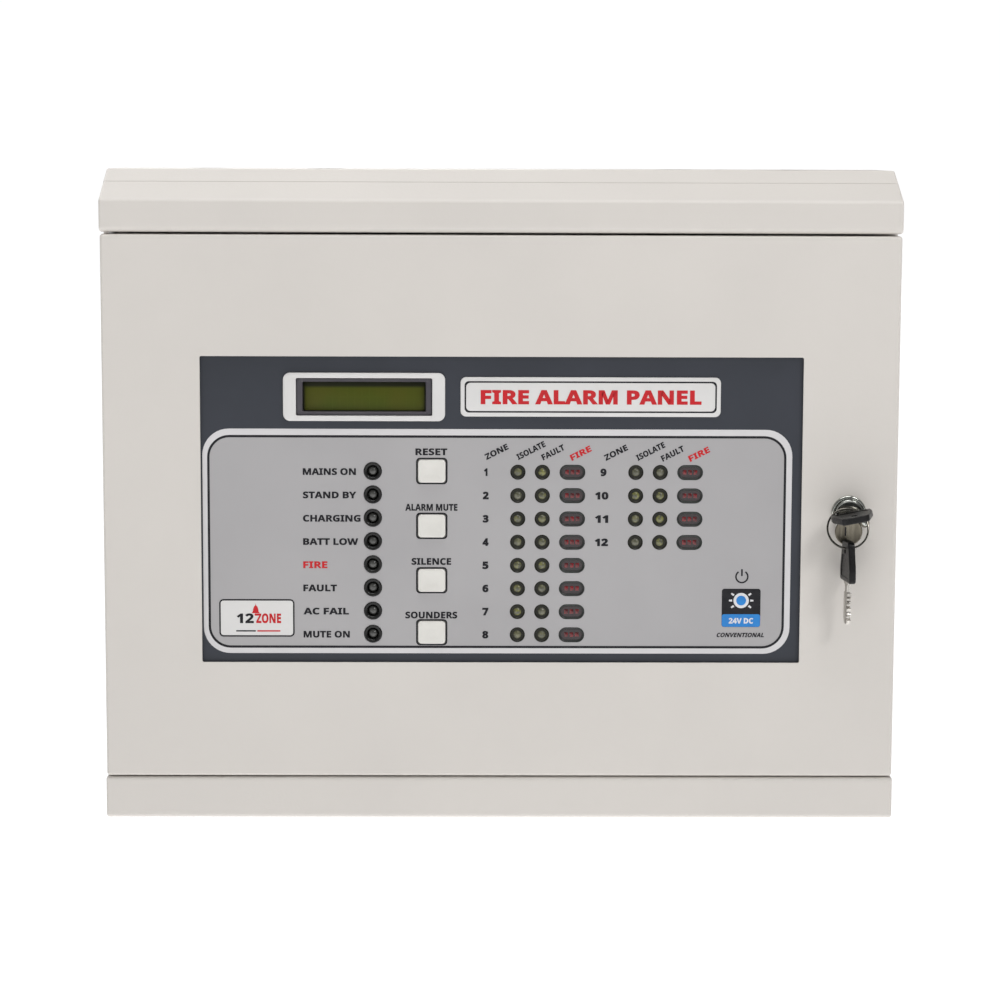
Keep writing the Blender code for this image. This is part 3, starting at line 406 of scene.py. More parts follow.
# name, colour, second colour, patch and grain scale, roughness and its spread, bump in mm, other settings
grainRows = [
    ("slateFilm", (0.040, 0.044, 0.056), (0.035, 0.039, 0.049), 22, 2600, 0.42, 0.1, 0.006,
        {"Specular IOR Level": 0.3}),
    ("panelGrey", (0.402, 0.392, 0.398), (0.378, 0.368, 0.375), 16, 2600, 0.45, 0.1, 0.006),
    ("borderPale", (0.66, 0.645, 0.655), (0.62, 0.61, 0.62), 30, 2600, 0.42, 0.1, 0.005),
    ("inkDarkAndShade", (0.013, 0.013, 0.016), (0.020, 0.019, 0.023), 300, 3000, 0.5, 0.1, 0.004,
        {"Specular IOR Level": 0.2}),
    ("inkRed", (0.56, 0.016, 0.022), (0.50, 0.022, 0.028), 260, 3000, 0.45, 0.1, 0.004,
        {"Specular IOR Level": 0.25}),
    ("inkBlue", (0.01, 0.22, 0.62), (0.012, 0.19, 0.55), 260, 3000, 0.4, 0.1, 0.004),
    ("inkWhite", (0.72, 0.72, 0.74), (0.66, 0.66, 0.68), 260, 3000, 0.4, 0.1, 0.004),
    ("whitePlate", (0.70, 0.69, 0.68), (0.67, 0.66, 0.65), 40, 2200, 0.38, 0.1, 0.005),
    ("capWhite", (0.72, 0.705, 0.665), (0.69, 0.675, 0.635), 90, 1700, 0.34, 0.1, 0.008),
    ("blackGloss", (0.008, 0.008, 0.008), (0.014, 0.014, 0.013), 150, 1800, 0.24, 0.12, 0.006,
        {"Specular IOR Level": 0.3}),
    ("lensRim", (0.022, 0.022, 0.015), (0.016, 0.016, 0.012), 200, 2000, 0.4, 0.15, 0.008,
        {"Specular IOR Level": 0.3}),
    ("pillRim", (0.024, 0.030, 0.026), (0.028, 0.028, 0.028), 60, 2000, 0.36, 0.12, 0.008,
        {"Specular IOR Level": 0.3}),
    ("pillWindow", (0.028, 0.014, 0.016), (0.020, 0.014, 0.016), 150, 2000, 0.2, 0.1, 0.004,
        {"Coat Weight": 0.3, "Coat Roughness": 0.1}),
    ("statusLens", (0.045, 0.045, 0.042), (0.075, 0.075, 0.070), 420, 1500, 0.2, 0.1, 0.004,
        {"Coat Weight": 0.4, "Coat Roughness": 0.06}),
    ("lcdFrame", (0.055, 0.05, 0.062), (0.07, 0.065, 0.075), 80, 1800, 0.4, 0.12, 0.006),
    ("bowBlack", (0.006, 0.006, 0.006), (0.010, 0.009, 0.010), 160, 1100, 0.34, 0.2, 0.012,
        {"Specular IOR Level": 0.25}),
    ("chipBlack", (0.015, 0.015, 0.016), (0.025, 0.025, 0.026), 200, 2600, 0.5, 0.15, 0.01),
    ("terminalGreen", (0.03, 0.26, 0.07), (0.025, 0.22, 0.06), 90, 2000, 0.4, 0.1, 0.008),
    ("rubberBlack", (0.028, 0.028, 0.028), (0.042, 0.042, 0.042), 60, 1500, 0.72, 0.12, 0.02),
    ("batteryGrey", (0.075, 0.078, 0.085), (0.092, 0.094, 0.10), 25, 1300, 0.5, 0.15, 0.02),
    ("windingTape", (0.62, 0.42, 0.07), (0.50, 0.33, 0.06), 70, 900, 0.42, 0.15, 0.02),
    ("leadRed", (0.48, 0.015, 0.018), (0.42, 0.02, 0.02), 60, 1500, 0.4, 0.1, 0.01),
    ("leadBlue", (0.02, 0.05, 0.30), (0.02, 0.045, 0.25), 60, 1500, 0.4, 0.1, 0.01),
    ("leadBlack", (0.018, 0.018, 0.018), (0.03, 0.03, 0.03), 60, 1500, 0.45, 0.1, 0.01),
    ("relayBlue", (0.03, 0.12, 0.42), (0.03, 0.10, 0.36), 60, 1900, 0.35, 0.1, 0.008),
    ("resistorTan", (0.42, 0.30, 0.16), (0.20, 0.10, 0.05), 300, 2000, 0.45, 0.1, 0.006),
    ("fuseGlass", (0.55, 0.58, 0.56), (0.42, 0.45, 0.44), 120, 2000, 0.12, 0.06, 0.002),
]
# name, colour, streak colour, stretch, roughness and its spread, bump in mm
brushRows = [
    ("zincSteel", (0.60, 0.60, 0.59), (0.46, 0.46, 0.44), (900, 900, 60), 0.34, 0.2, 0.006),
    ("chromeLock", (0.52, 0.53, 0.50), (0.30, 0.31, 0.28), (300, 300, 300), 0.13, 0.12, 0.004),
    ("coverBronze", (0.21, 0.19, 0.15), (0.13, 0.115, 0.09), (900, 900, 70), 0.32, 0.2, 0.008),
    ("keyNickel", (0.55, 0.53, 0.50), (0.34, 0.32, 0.29), (900, 900, 80), 0.24, 0.2, 0.006),
    ("ringSteel", (0.17, 0.16, 0.14), (0.09, 0.085, 0.08), (300, 300, 300), 0.2, 0.15, 0.004),
    ("finAluminium", (0.66, 0.66, 0.67), (0.5, 0.5, 0.51), (900, 900, 50), 0.36, 0.2, 0.008),
    ("coreIron", (0.20, 0.20, 0.21), (0.10, 0.10, 0.11), (500, 3200, 40), 0.45, 0.2, 0.05),
    ("solderTin", (0.62, 0.62, 0.62), (0.45, 0.45, 0.45), (600, 600, 600), 0.22, 0.15, 0.01),
]


def makeFinishes():
    makeCaseCream()
    makeDisplayGreen()
    makeBoardGreen()
    makeLampLens()
    makeFireChip()
    for row in grainRows:
        grainFinish(*row)
    for row in brushRows:
        brushFinish(*row)


makeFinishes()
print(len(finishes), "finishes are made")


# ---- outlines and solids

def circleLoop(cx, cz, r, steps=40, start=0.0):
    return [(cx + r * cos(start + tau * i / steps), cz + r * sin(start + tau * i / steps))
            for i in range(steps)]


def roundLoop(cx, cz, width, height, r, steps=6):
    loop = []
    for k, (sx, sz) in enumerate(((1, 1), (-1, 1), (-1, -1), (1, -1))):
        for i in range(steps + 1):
            a = (k + i / steps) * pi / 2
            loop.append((cx + sx * (width / 2 - r) + r * cos(a), cz + sz * (height / 2 - r) + r * sin(a)))
    return loop


def filleted(points, radii, steps=6):
    # rounds a polygon's corners, with one radius for each
    outline = []
    for i, (point, radius) in enumerate(zip(points, radii)):
        corner = Vector(point)
        before = (Vector(points[i - 1]) - corner).normalized()
        after = (Vector(points[(i + 1) % len(points)]) - corner).normalized()
        if not radius:
            outline.append(tuple(corner))
            continue
        half = before.angle(after) / 2
        centre = corner + (before + after).normalized() * (radius / sin(half))
        first = corner + before * (radius / tan(half)) - centre
        last = corner + after * (radius / tan(half)) - centre
        sweep = first.angle(last)
        for k in range(steps + 1):
            mixed = (first * sin(sweep * (1 - k / steps)) + last * sin(sweep * k / steps)) / sin(sweep)
            outline.append(tuple(centre + mixed))
    return outline


def boxLoop(x0, x1, z0, z1):
    return [(x0, z0), (x1, z0), (x1, z1), (x0, z1)]


axisPlaces = {"y": lambda a, b, c: (a, c, b), "z": lambda a, b, c: (a, b, c), "x": lambda a, b, c: (c, a, b)}


def prism(outline, low, high, axis="y", holes=()):
    put = axisPlaces[axis]
    bm = bmesh.new()
    edges = []
    for loop in (outline, *holes):
        verts = [bm.verts.new(Vector(put(a, b, low)) * mm) for a, b in loop]
        edges += [bm.edges.new((verts[i], verts[i - 1])) for i in range(len(verts))]
    if holes:
        bmesh.ops.triangle_fill(bm, use_beauty=True, use_dissolve=False, edges=edges)
    else:
        bm.faces.new(verts)
    made = bmesh.ops.extrude_face_region(bm, geom=bm.faces[:])
    pushed = [v for v in made["geom"] if isinstance(v, bmesh.types.BMVert)]
    bmesh.ops.translate(bm, verts=pushed, vec=Vector(put(0, 0, high - low)) * mm)
    bmesh.ops.recalc_face_normals(bm, faces=bm.faces[:])
    return bm


def block(x0, x1, y0, y1, z0, z1):
    return prism(boxLoop(x0, x1, z0, z1), y0, y1)


def loft(loops, closed=False):
    # skin over loops of (x, y, z) points; closed joins the last loop to the first
    bm = bmesh.new()
    rings = [[bm.verts.new(Vector(p) * mm) for p in loop] for loop in loops]
    pairs = list(zip(rings, rings[1:])) + ([(rings[-1], rings[0])] if closed else [])
    for a, b in pairs:
        for i in range(len(a)):
            j = (i + 1) % len(a)
            bm.faces.new((a[i], a[j], b[j], b[i]))
    if not closed:
        bm.faces.new(rings[0])
        bm.faces.new(rings[-1])
    bmesh.ops.recalc_face_normals(bm, faces=bm.faces[:])
    return bm


def standing(loop, y):
    return [(x, y, z) for x, z in loop]


def turned(profile, cx, cz, steps=48, axis="y"):
    # a solid of revolution; the profile is (radius, place along the axis)
    put = axisPlaces[axis]
    bm = bmesh.new()
    rings = []
    for r, c in profile:
        loop = [(cx, cz)] if r == 0 else circleLoop(cx, cz, r, steps)
        rings.append([bm.verts.new(Vector(put(a, b, c)) * mm) for a, b in loop])
    for a, b in zip(rings, rings[1:]):
        for i in range(steps):
            j = (i + 1) % steps
            bm.faces.new(list(dict.fromkeys([a[i % len(a)], a[j % len(a)], b[j % len(b)], b[i % len(b)]])))
    for ring in (rings[0], rings[-1]):
        if len(ring) > 1:
            bm.faces.new(ring)
    bmesh.ops.recalc_face_normals(bm, faces=bm.faces[:])
    return bm


def arc(r, c, radius, fromDegrees, toDegrees, steps=5):
    # points of a profile's rounding about (r, c)
    angles = [radians(fromDegrees + (toDegrees - fromDegrees) * i / steps) for i in range(steps + 1)]
    return [(r + radius * cos(a), c + radius * sin(a)) for a in angles]


def together(*meshes):
    bm = bmesh.new()
    for other in meshes:
        mesh = bpy.data.meshes.new("part")
        other.to_mesh(mesh)
        other.free()
        bm.from_mesh(mesh)
        bpy.data.meshes.remove(mesh)
    return bm


def moved(bm, offset):
    bmesh.ops.translate(bm, verts=bm.verts[:], vec=Vector(offset) * mm)
    return bm


def makePiece(name, bm, finish, smoothAngle=32, matrix=None):
    mesh = bpy.data.meshes.new(name)
    if matrix is not None:
        bmesh.ops.transform(bm, matrix=matrix, verts=bm.verts[:])
    bm.to_mesh(mesh)
    bm.free()
    mesh.materials.append(finishes[finish])
    piece = bpy.data.objects.new(name, mesh)
    link(piece)
    shade(piece, smoothAngle)
    return piece


def shade(piece, angle=32):
    piece.data.shade_smooth()
    piece.data.set_sharp_from_angle(angle=radians(angle))


def meshOf(item):
    bpy.context.view_layer.update()
    return bpy.data.meshes.new_from_object(item.evaluated_get(bpy.context.evaluated_depsgraph_get()))


def settle(piece):
    # applies the modifiers
    made = meshOf(piece)
    piece.modifiers.clear()
    piece.data = made
    return piece


def carve(piece, *meshes, operation="DIFFERENCE"):
    tool = bpy.data.objects.new("tool", bpy.data.meshes.new("tool"))
    bm = together(*meshes)
    bm.to_mesh(tool.data)
    bm.free()
    tool.data.materials.append(piece.data.materials[0])
    link(tool)
    modifier = piece.modifiers.new("carve", "BOOLEAN")
    modifier.operation, modifier.object = operation, tool
    settle(piece)
    bpy.data.objects.remove(tool)
    return piece


def rounded(piece, width, segments=4, angle=30, back=None):
    # back, in mm, leaves the edges behind that Y square
    if back is not None:
        bm = bmesh.new()
        bm.from_mesh(piece.data)
        edges = [e for e in bm.edges if len(e.link_faces) == 2 and e.calc_face_angle() > radians(angle)
                 and not all(v.co.y > back * mm for v in e.verts)]
        bmesh.ops.bevel(bm, geom=edges, offset=width * mm, segments=segments, profile=0.5, affect="EDGES")
        bm.to_mesh(piece.data)
        bm.free()
        return piece
    bevel = piece.modifiers.new("rounding", "BEVEL")
    bevel.width, bevel.segments = width * mm, segments
    bevel.limit_method, bevel.angle_limit = "ANGLE", radians(angle)
    return settle(piece)


def evenShading(piece, angle=32):
    # large flat faces keep flat normals beside their rounded folds
    shade(piece, angle)
    weighted = piece.modifiers.new("flats", "WEIGHTED_NORMAL")
    weighted.keep_sharp = True
    return settle(piece)


def fit(piece, body, slot, *replaced):
    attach(piece, body)
    if replaced:
        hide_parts(*replaced)
    return piece


def add(name, bm, finish, body, slot, *replaced, angle=32):
    return fit(makePiece(name, bm, finish, angle), body, slot, *replaced)


# ---- geometry node trees for what repeats

def nodeTree(name, inputs):
    tree = bpy.data.node_groups.new(name, "GeometryNodeTree")
    tree.interface.new_socket("Geometry", in_out="OUTPUT", socket_type="NodeSocketGeometry")
    tree.interface.new_socket("Geometry", in_out="INPUT", socket_type="NodeSocketGeometry")
    for kind, label in inputs:
        tree.interface.new_socket(label, in_out="INPUT", socket_type=kind)
    return tree, tree.nodes.new("NodeGroupInput"), tree.nodes.new("NodeGroupOutput")


def endTree(tree, given, out, geometry):
    realize = tree.nodes.new("GeometryNodeRealizeInstances")
    paintOn = tree.nodes.new("GeometryNodeSetMaterial")
    tree.links.new(geometry, realize.inputs[0])
    tree.links.new(realize.outputs[0], paintOn.inputs["Geometry"])
    tree.links.new(given.outputs["Material"], paintOn.inputs["Material"])
    tree.links.new(paintOn.outputs[0], out.inputs[0])


def makeGridTree():
    # copies of one item along two steps
    tree, given, out = nodeTree("gridOfCopies", [("NodeSocketObject", "Item"), ("NodeSocketInt", "Across"),
            ("NodeSocketInt", "Up"), ("NodeSocketVector", "Step Across"), ("NodeSocketVector", "Step Up"),
            ("NodeSocketMaterial", "Material")])
    lines = []
    for count, step in (("Across", "Step Across"), ("Up", "Step Up")):
        line = tree.nodes.new("GeometryNodeMeshLine")
        tree.links.new(given.outputs[count], line.inputs["Count"])
        tree.links.new(given.outputs[step], line.inputs["Offset"])
        lines.append(line)
    grid = tree.nodes.new("GeometryNodeInstanceOnPoints")
    tree.links.new(lines[0].outputs[0], grid.inputs["Points"])
    tree.links.new(lines[1].outputs[0], grid.inputs["Instance"])
    points = tree.nodes.new("GeometryNodeRealizeInstances")
    tree.links.new(grid.outputs[0], points.inputs[0])
    item = tree.nodes.new("GeometryNodeObjectInfo")
    tree.links.new(given.outputs["Item"], item.inputs["Object"])
    copies = tree.nodes.new("GeometryNodeInstanceOnPoints")
    tree.links.new(points.outputs[0], copies.inputs["Points"])
    tree.links.new(item.outputs["Geometry"], copies.inputs["Instance"])
    endTree(tree, given, out, copies.outputs[0])
    return tree


def makeLeadTree():
    # a round tube along the object's own curve
    tree, given, out = nodeTree("tubeAlongRoute", [("NodeSocketFloat", "Radius"), ("NodeSocketInt",
            "Sides"), ("NodeSocketMaterial", "Material")])
    profile = tree.nodes.new("GeometryNodeCurvePrimitiveCircle")
    tree.links.new(given.outputs["Radius"], profile.inputs["Radius"])
    tree.links.new(given.outputs["Sides"], profile.inputs["Resolution"])
    tube = tree.nodes.new("GeometryNodeCurveToMesh")
    tube.inputs["Fill Caps"].default_value = True
    tree.links.new(given.outputs["Geometry"], tube.inputs["Curve"])
    tree.links.new(profile.outputs[0], tube.inputs["Profile Curve"])
    endTree(tree, given, out, tube.outputs[0])
    return tree


gridOfCopies = makeGridTree()
tubeAlongRoute = makeLeadTree()


def setTree(piece, tree, values):
    modifier = piece.modifiers.new(tree.name, "NODES")
    modifier.node_group = tree
    for socket in tree.interface.items_tree:
        if socket.in_out == "INPUT" and socket.name in values:
            modifier[socket.identifier] = values[socket.name]


def copyGrid(item, first, across, up, stepAcross, stepUp, finish):
    # repeats a piece made about the origin; returns the copies as a bmesh
    holder = bpy.data.objects.new("copies", bpy.data.meshes.new("copies"))
    link(holder)
    setTree(holder, gridOfCopies, {"Item": item, "Across": across, "Up": up,
            "Step Across": Vector(stepAcross) * mm, "Step Up": Vector(stepUp) * mm,
            "Material": finishes[finish]})
    settle(holder)
    bm = bmesh.new()
    bm.from_mesh(holder.data)
    bpy.data.objects.remove(holder)
    return moved(bm, first)


def tubeAlong(name, points, radius, finish, sides=14, steps=8):
    # an insulated lead along a smooth route through its points
    route = [Vector(p) * mm for p in points]
    padded = [2 * route[0] - route[1], *route, 2 * route[-1] - route[-2]]
    smooth = []
    for a, b, c, d in zip(padded, padded[1:], padded[2:], padded[3:]):
        for k in range(steps):
            t = k / steps
            smooth.append(0.5 * ((2 * b) + (c - a) * t + (2 * a - 5 * b + 4 * c - d) * t * t
                    + (3 * b - a - 3 * c + d) * t ** 3))
    smooth.append(route[-1])
    curve = bpy.data.curves.new(name, "CURVE")
    curve.dimensions = "3D"
    spline = curve.splines.new("POLY")
    spline.points.add(len(smooth) - 1)
    for point, place in zip(spline.points, smooth):
        point.co = (*place, 1)
    holder = bpy.data.objects.new(name + "Route", curve)
    link(holder)
    setTree(holder, tubeAlongRoute, {"Radius": radius * mm, "Sides": sides, "Material": finishes[finish]})
    mesh = meshOf(holder)
    bpy.data.objects.remove(holder)
    tube = bpy.data.objects.new(name, mesh)
    link(tube)
    shade(tube, 60)
    return tube


# ---- lettering

fontPath = os.path.join(bpy.utils.system_resource("DATAFILES"), "fonts", "NotoSansMath-Regular.woff2")
legendFont = bpy.data.fonts.load(fontPath) if os.path.exists(fontPath) else None


def boldWords(words):
    # the same words in the upright bold alphabet of the symbol font
    first = {True: (65, 0x1D5D4), False: (48, 0x1D7EC)}
    return "".join(chr(first[c.isalpha()][1] + ord(c.upper()) - first[c.isalpha()][0]) if c.isalnum() else c
            for c in words)


def thicken(bm, weight):
    # moves the strokes' edges outwards by weight, keeping the flat faces flat
    bmesh.ops.recalc_face_normals(bm, faces=bm.faces[:])
    bm.normal_update()
    shifts = []
    for v in bm.verts:
        walls = [f.normal for f in v.link_faces if abs(f.normal.z) < 0.5]
        lean = sum(walls, Vector()).normalized()
        shifts.append(lean * weight / max(0.6, lean.dot(walls[0])) if walls else Vector())
    for v, shift in zip(bm.verts, shifts):
        v.co += shift


def lettering(words, capHeight, width, x, z, front, align="LEFT", turn=0.0, slant=0.0, weight=0.016):
    # flat words facing the door's front, scaled to a capital height and a width; returns a bmesh
    text = bpy.data.curves.new("words", "FONT")
    text.body = boldWords(words) if legendFont else words
    text.size = 1.0
    if legendFont:
        text.font = legendFont
    text.extrude = 0.02
    text.shear = slant
    text.resolution_u = 3
    holder = bpy.data.objects.new("words", text)
    link(holder)
    mesh = meshOf(holder)
    bpy.data.objects.remove(holder)
    bm = bmesh.new()
    bm.from_mesh(mesh)
    bmesh.ops.remove_doubles(bm, verts=bm.verts[:], dist=0.0001)
    thicken(bm, weight)
    lowX, highX = min(v.co.x for v in bm.verts), max(v.co.x for v in bm.verts)
    lowY, highY = min(v.co.y for v in bm.verts), max(v.co.y for v in bm.verts)
    shift = {"LEFT": lowX, "CENTER": (lowX + highX) / 2}[align]
    stretch = Matrix.Diagonal((width / (highX - lowX), capHeight / (highY - lowY), 1, 1))
    centred = Matrix.Translation((-shift, -(lowY + highY) / 2, 0))
    upright = Matrix.Rotation(pi / 2, 4, "X")
    tilted = Matrix.Rotation(-turn, 4, "Y")
    place = Matrix.Translation((x, front, z)) @ tilted @ upright @ stretch @ centred
    bmesh.ops.transform(bm, matrix=Matrix.Scale(mm, 4) @ place, verts=bm.verts[:])
    return bm


# ---- case

caseSettings = {"sheet": 1.2, "fold": 1.6, "foldSteps": 5, "trayFront": -80, "slopeStart": -66,
                "slope": 15 / 34, "lip": 12, "hoodEdge": 3.0, "grommetR": 10,
                "grommetX": (-150, -90, 90, 150), "grommetY": -34, "keyholeX": 140, "keyholeZ": 142,
                "lowerHoleZ": -54, "postTip": -10.2,
                "posts": [(x, z) for x in (-16, 180) for z in (-42, 112)]
                + [(x, z) for x in (-106, -40) for z in (24, 112)]}


def slopeZ(y, inset=0.0):
    s = caseSettings
    steep = sqrt(1 + s["slope"] ** 2)
    return cadBounds[0].z / mm + 328 - inset * steep + (y - s["slopeStart"]) * s["slope"]


def traySection(inset):
    s = caseSettings
    low, high, mid = spot("back_box")
    top, front = high.z - inset, s["trayFront"] + inset
    crease = s["slopeStart"] + inset * (sqrt(1 + s["slope"] ** 2) - 1) / s["slope"]
    points = [(-inset, low.z + inset), (-inset, top), (crease, top), (front, slopeZ(front, inset)),
            (front, low.z + inset)]
    return filleted(points, (0, 0, 3, 0, 0), s["foldSteps"])


def roundedSides(bm, width):
    # folds along the long edges of both ends, but not round the open front or the wall face
    ends = [min(v.co.y for v in bm.verts), max(v.co.y for v in bm.verts)]
    edges = [e for e in bm.edges if abs(e.verts[0].co.x - e.verts[1].co.x) < 1e-6
             and not any(all(abs(v.co.y - end) < 1e-5 for v in e.verts) for end in ends)]
    bmesh.ops.bevel(bm, geom=edges, offset=width * mm, segments=4, profile=0.5, affect="EDGES")
    return bm


def makeTray():
    s = caseSettings
    low, high, mid = spot("back_box")
    tray = makePiece("caseTray", roundedSides(prism(traySection(0), low.x, high.x, "x"), 1.2), "caseCream")
    carve(tray, prism(traySection(s["sheet"]), low.x + s["sheet"], high.x - s["sheet"], "x"))
    mouth = roundLoop(0, (low.z + slopeZ(s["trayFront"])) / 2, high.x - low.x - 2 * s["lip"],
                      slopeZ(s["trayFront"]) - low.z - 2 * s["lip"], 3)
    carve(tray, prism(mouth, s["trayFront"] - 1, s["trayFront"] + 3))
    rounds = [circleLoop(side * s["keyholeX"], s["keyholeZ"], 4.6, 32) for side in (-1, 1)]
    rounds += [circleLoop(side * s["keyholeX"], s["lowerHoleZ"], 2.8, 24) for side in (-1, 1)]
    carve(tray, *[prism(loop, -3, 1) for loop in rounds])
    carve(tray, *[prism(roundLoop(side * s["keyholeX"], s["keyholeZ"] + 7, 5.2, 12, 2.5), -3, 1)
            for side in (-1, 1)])
    carve(tray, *[prism(circleLoop(x, s["grommetY"], s["grommetR"], 48), 161, 165, "z")
            for x in s["grommetX"]])
    fit(evenShading(tray), "enclosure", "case_paint", "back_box")
    posts = [turned([(3.2, s["postTip"]), (3.4, -s["sheet"] - 0.4), (4.2, -s["sheet"]),
            (4.2, -s["sheet"] / 2)], x, z, 24) for x, z in s["posts"]]
    posts.append(turned([(0, -14), (2, -14), (2.5, -13.4), (2.5, -s["sheet"] / 2)], -176, -20, 24))
    add("boardPosts", together(*posts), "zincSteel", "enclosure", "zinc_steel")


def makeHood():
    s = caseSettings
    low, high, mid = spot("top_hood")
    for name, node, points, radii in (("hoodShell", "top_hood", lambda i: [(high.y, low.z + i),
            (high.y, slopeZ(high.y, i)), (low.y + i, slopeZ(low.y + i, i)), (low.y + i, low.z + i)],
            (0, 0, 2.4, s["hoodEdge"])), ("ledgeShell", "bottom_ledge", lambda i: [(high.y, -164 + i),
            (high.y, ledgeTop - i), (low.y + i, ledgeTop - i), (low.y + i, -164 + i)], (0, 0, 2.0, 2.4))):
        ledgeTop = spot("bottom_ledge")[1].z
        shell = makePiece(name, prism(filleted(points(0), radii), low.x, high.x, "x"), "caseCream")
        rounded(shell, 1.2, 4, 40, high.y - 0.01)
        hollow = [(y + (3 if y == high.y else 0), z) for y, z in points(s["sheet"])]
        insideRadii = [max(0.4, r - s["sheet"]) if r else 0 for r in radii]
        carve(shell, prism(filleted(hollow, insideRadii, 4), low.x + s["sheet"], high.x - s["sheet"], "x"))
        pin = spot("hinge_pin_upper" if node == "top_hood" else "hinge_pin_lower")[2]
        flange = low.z if node == "top_hood" else ledgeTop
        carve(shell, prism(circleLoop(pin.x, pin.y, 2.3, 24), flange - 2, flange + 2, "z"))
        fit(evenShading(shell), "enclosure", "case_paint", node)


def makeGrommets():
    s = caseSettings
    top = spot("back_box")[1].z
    lip, neck = s["grommetR"] + 2.5, s["grommetR"] - 0.3
    under = top - s["sheet"]
    profile = [(0, top - 0.9), (5.8, top - 0.9), (6.6, top - 0.7), (7.4, top - 0.2),
            (neck - 0.4, top - 0.1), (neck, top - 0.4), (neck, under - 0.3), (lip - 0.3, under - 0.3),
            (lip, under - 0.6), (lip - 0.1, under - 1.3), (lip - 0.7, under - 1.6), (7, under - 2),
            (6.4, top - 1.9), (0, top - 1.9)]
    rings = [turned(profile, x, s["grommetY"], 40, "z") for x in s["grommetX"]]
    add("cableGrommets", together(*rings), "rubberBlack", "enclosure", "rubber", *[f"cable_grommet_{i}"
            for i in (1, 2, 3, 4)], angle=50)


makeTray()
makeHood()
makeGrommets()
print("case is made")


# ---- door

doorSettings = {"sheet": 1.2, "fold": 1.6, "cutWidth": 302, "cutHeight": 155, "cutX": 0.4, "cutZ": -6.1,
                "studX": 155, "studZ": 81.3, "lockHoleR": 7.9}


def makeDoor():
    s = doorSettings
    low, high, mid = spot("door_panel")
    door = rounded(makePiece("doorSkin", block(low.x, high.x, low.y, high.y, low.z, high.z), "caseCream"),
            s["fold"], 5)
    t = s["sheet"]
    carve(door, prism(roundLoop(mid.x, mid.z, high.x - low.x - 2 * t, high.z - low.z - 2 * t, 0.8),
            low.y + t, high.y + 2))
    lockX, lockZ = spot("lock_nut")[2].x, spot("lock_nut")[2].z
    carve(door, prism(roundLoop(s["cutX"], s["cutZ"], s["cutWidth"], s["cutHeight"], 0.8), low.y - 1,
            low.y + 3), prism(circleLoop(lockX, lockZ, s["lockHoleR"], 40), low.y - 1, low.y + 3))
    pin = spot("hinge_pin_upper")[2]
    carve(door, prism(circleLoop(pin.x, pin.y, 2.3, 24), high.z - 3, high.z + 3, "z"),
          prism(circleLoop(pin.x, pin.y, 2.3, 24), low.z - 3, low.z + 3, "z"))
    fit(evenShading(door), "door", "case_paint", "door_panel")
    places = [(s["cutX"] + sx * s["studX"], s["cutZ"] + sz * s["studZ"]) for sx in (-1, 1) for sz in (-1, 1)]
    studs = [turned([(0, -89), (1.1, -89), *[(1.5 - 0.18 * (k % 2), -89.4 - 0.25 * k) for k in range(24)],
            (1.5, -97), (2.6, -98.4), (2.6, -99)], x, z, 20) for x, z in places]
    add("weldStuds", together(*studs), "zincSteel", "door", "zinc_steel")
    nuts = []
    for x, z in places:
        crown = loft([standing(circleLoop(x, z, r, 6), y) for r, y in ((3.4, -94.9), (3.8, -94.6),
                (3.8, -92.6), (3.4, -92.2))])
        nuts.append(crown)
    nutPiece = makePiece("fasciaNuts", together(*nuts), "zincSteel", 20)
    carve(nutPiece, *[prism(circleLoop(x, z, 1.7, 20), -96, -91) for x, z in places])
    fit(nutPiece, "door", "zinc_steel", *[f"fascia_nut_{i}" for i in (1, 2, 3, 4)])


makeDoor()
print("door is made")


# ---- fascia: printed film, lamps and legends

fasciaSettings = {"filmWidth": 305, "filmHeight": 158, "border": (-149.8, 146.5, -79.2, 34.9, 13.4),
                  "line": (-146.8, 143.0, -75.9, 31.1, 10.6), "lineWidth": 1.2, "print": 0.03,
                  "pitch": 11.83, "rowTop": 13.2, "lensR": 3.85, "pillWidth": 13.05, "statusX": -64.35,
                  "statusR": 4.65, "buttonX": -34.7, "buttonZ": (13.7, -14.1, -41.8, -68.4),
                  "blocks": ((8.6, 20.9, 36.0, 8), (67.9, 80.2, 95.2, 4))}
filmFront = spot("fascia_overlay")[0].y


def zoneRows(rows):
    s = fasciaSettings
    return [s["rowTop"] - s["pitch"] * row for row in range(rows)]


def lampLoops(steps=32):
    s = fasciaSettings
    loops = [circleLoop(x, z, s["lensR"], steps) for first, second, wide, rows in s["blocks"]
            for z in zoneRows(rows) for x in (first, second)]
    return loops + [roundLoop(wide, z, s["pillWidth"], 2 * s["lensR"], s["lensR"] - 0.01, steps // 4)
                    for first, second, wide, rows in s["blocks"] for z in zoneRows(rows)]


def spanLoop(x0, x1, z0, z1, r, inset=0.0):
    return roundLoop((x0 + x1) / 2, (z0 + z1) / 2, x1 - x0 - 2 * inset, z1 - z0 - 2 * inset,
            max(r - inset, 0.3), 10)


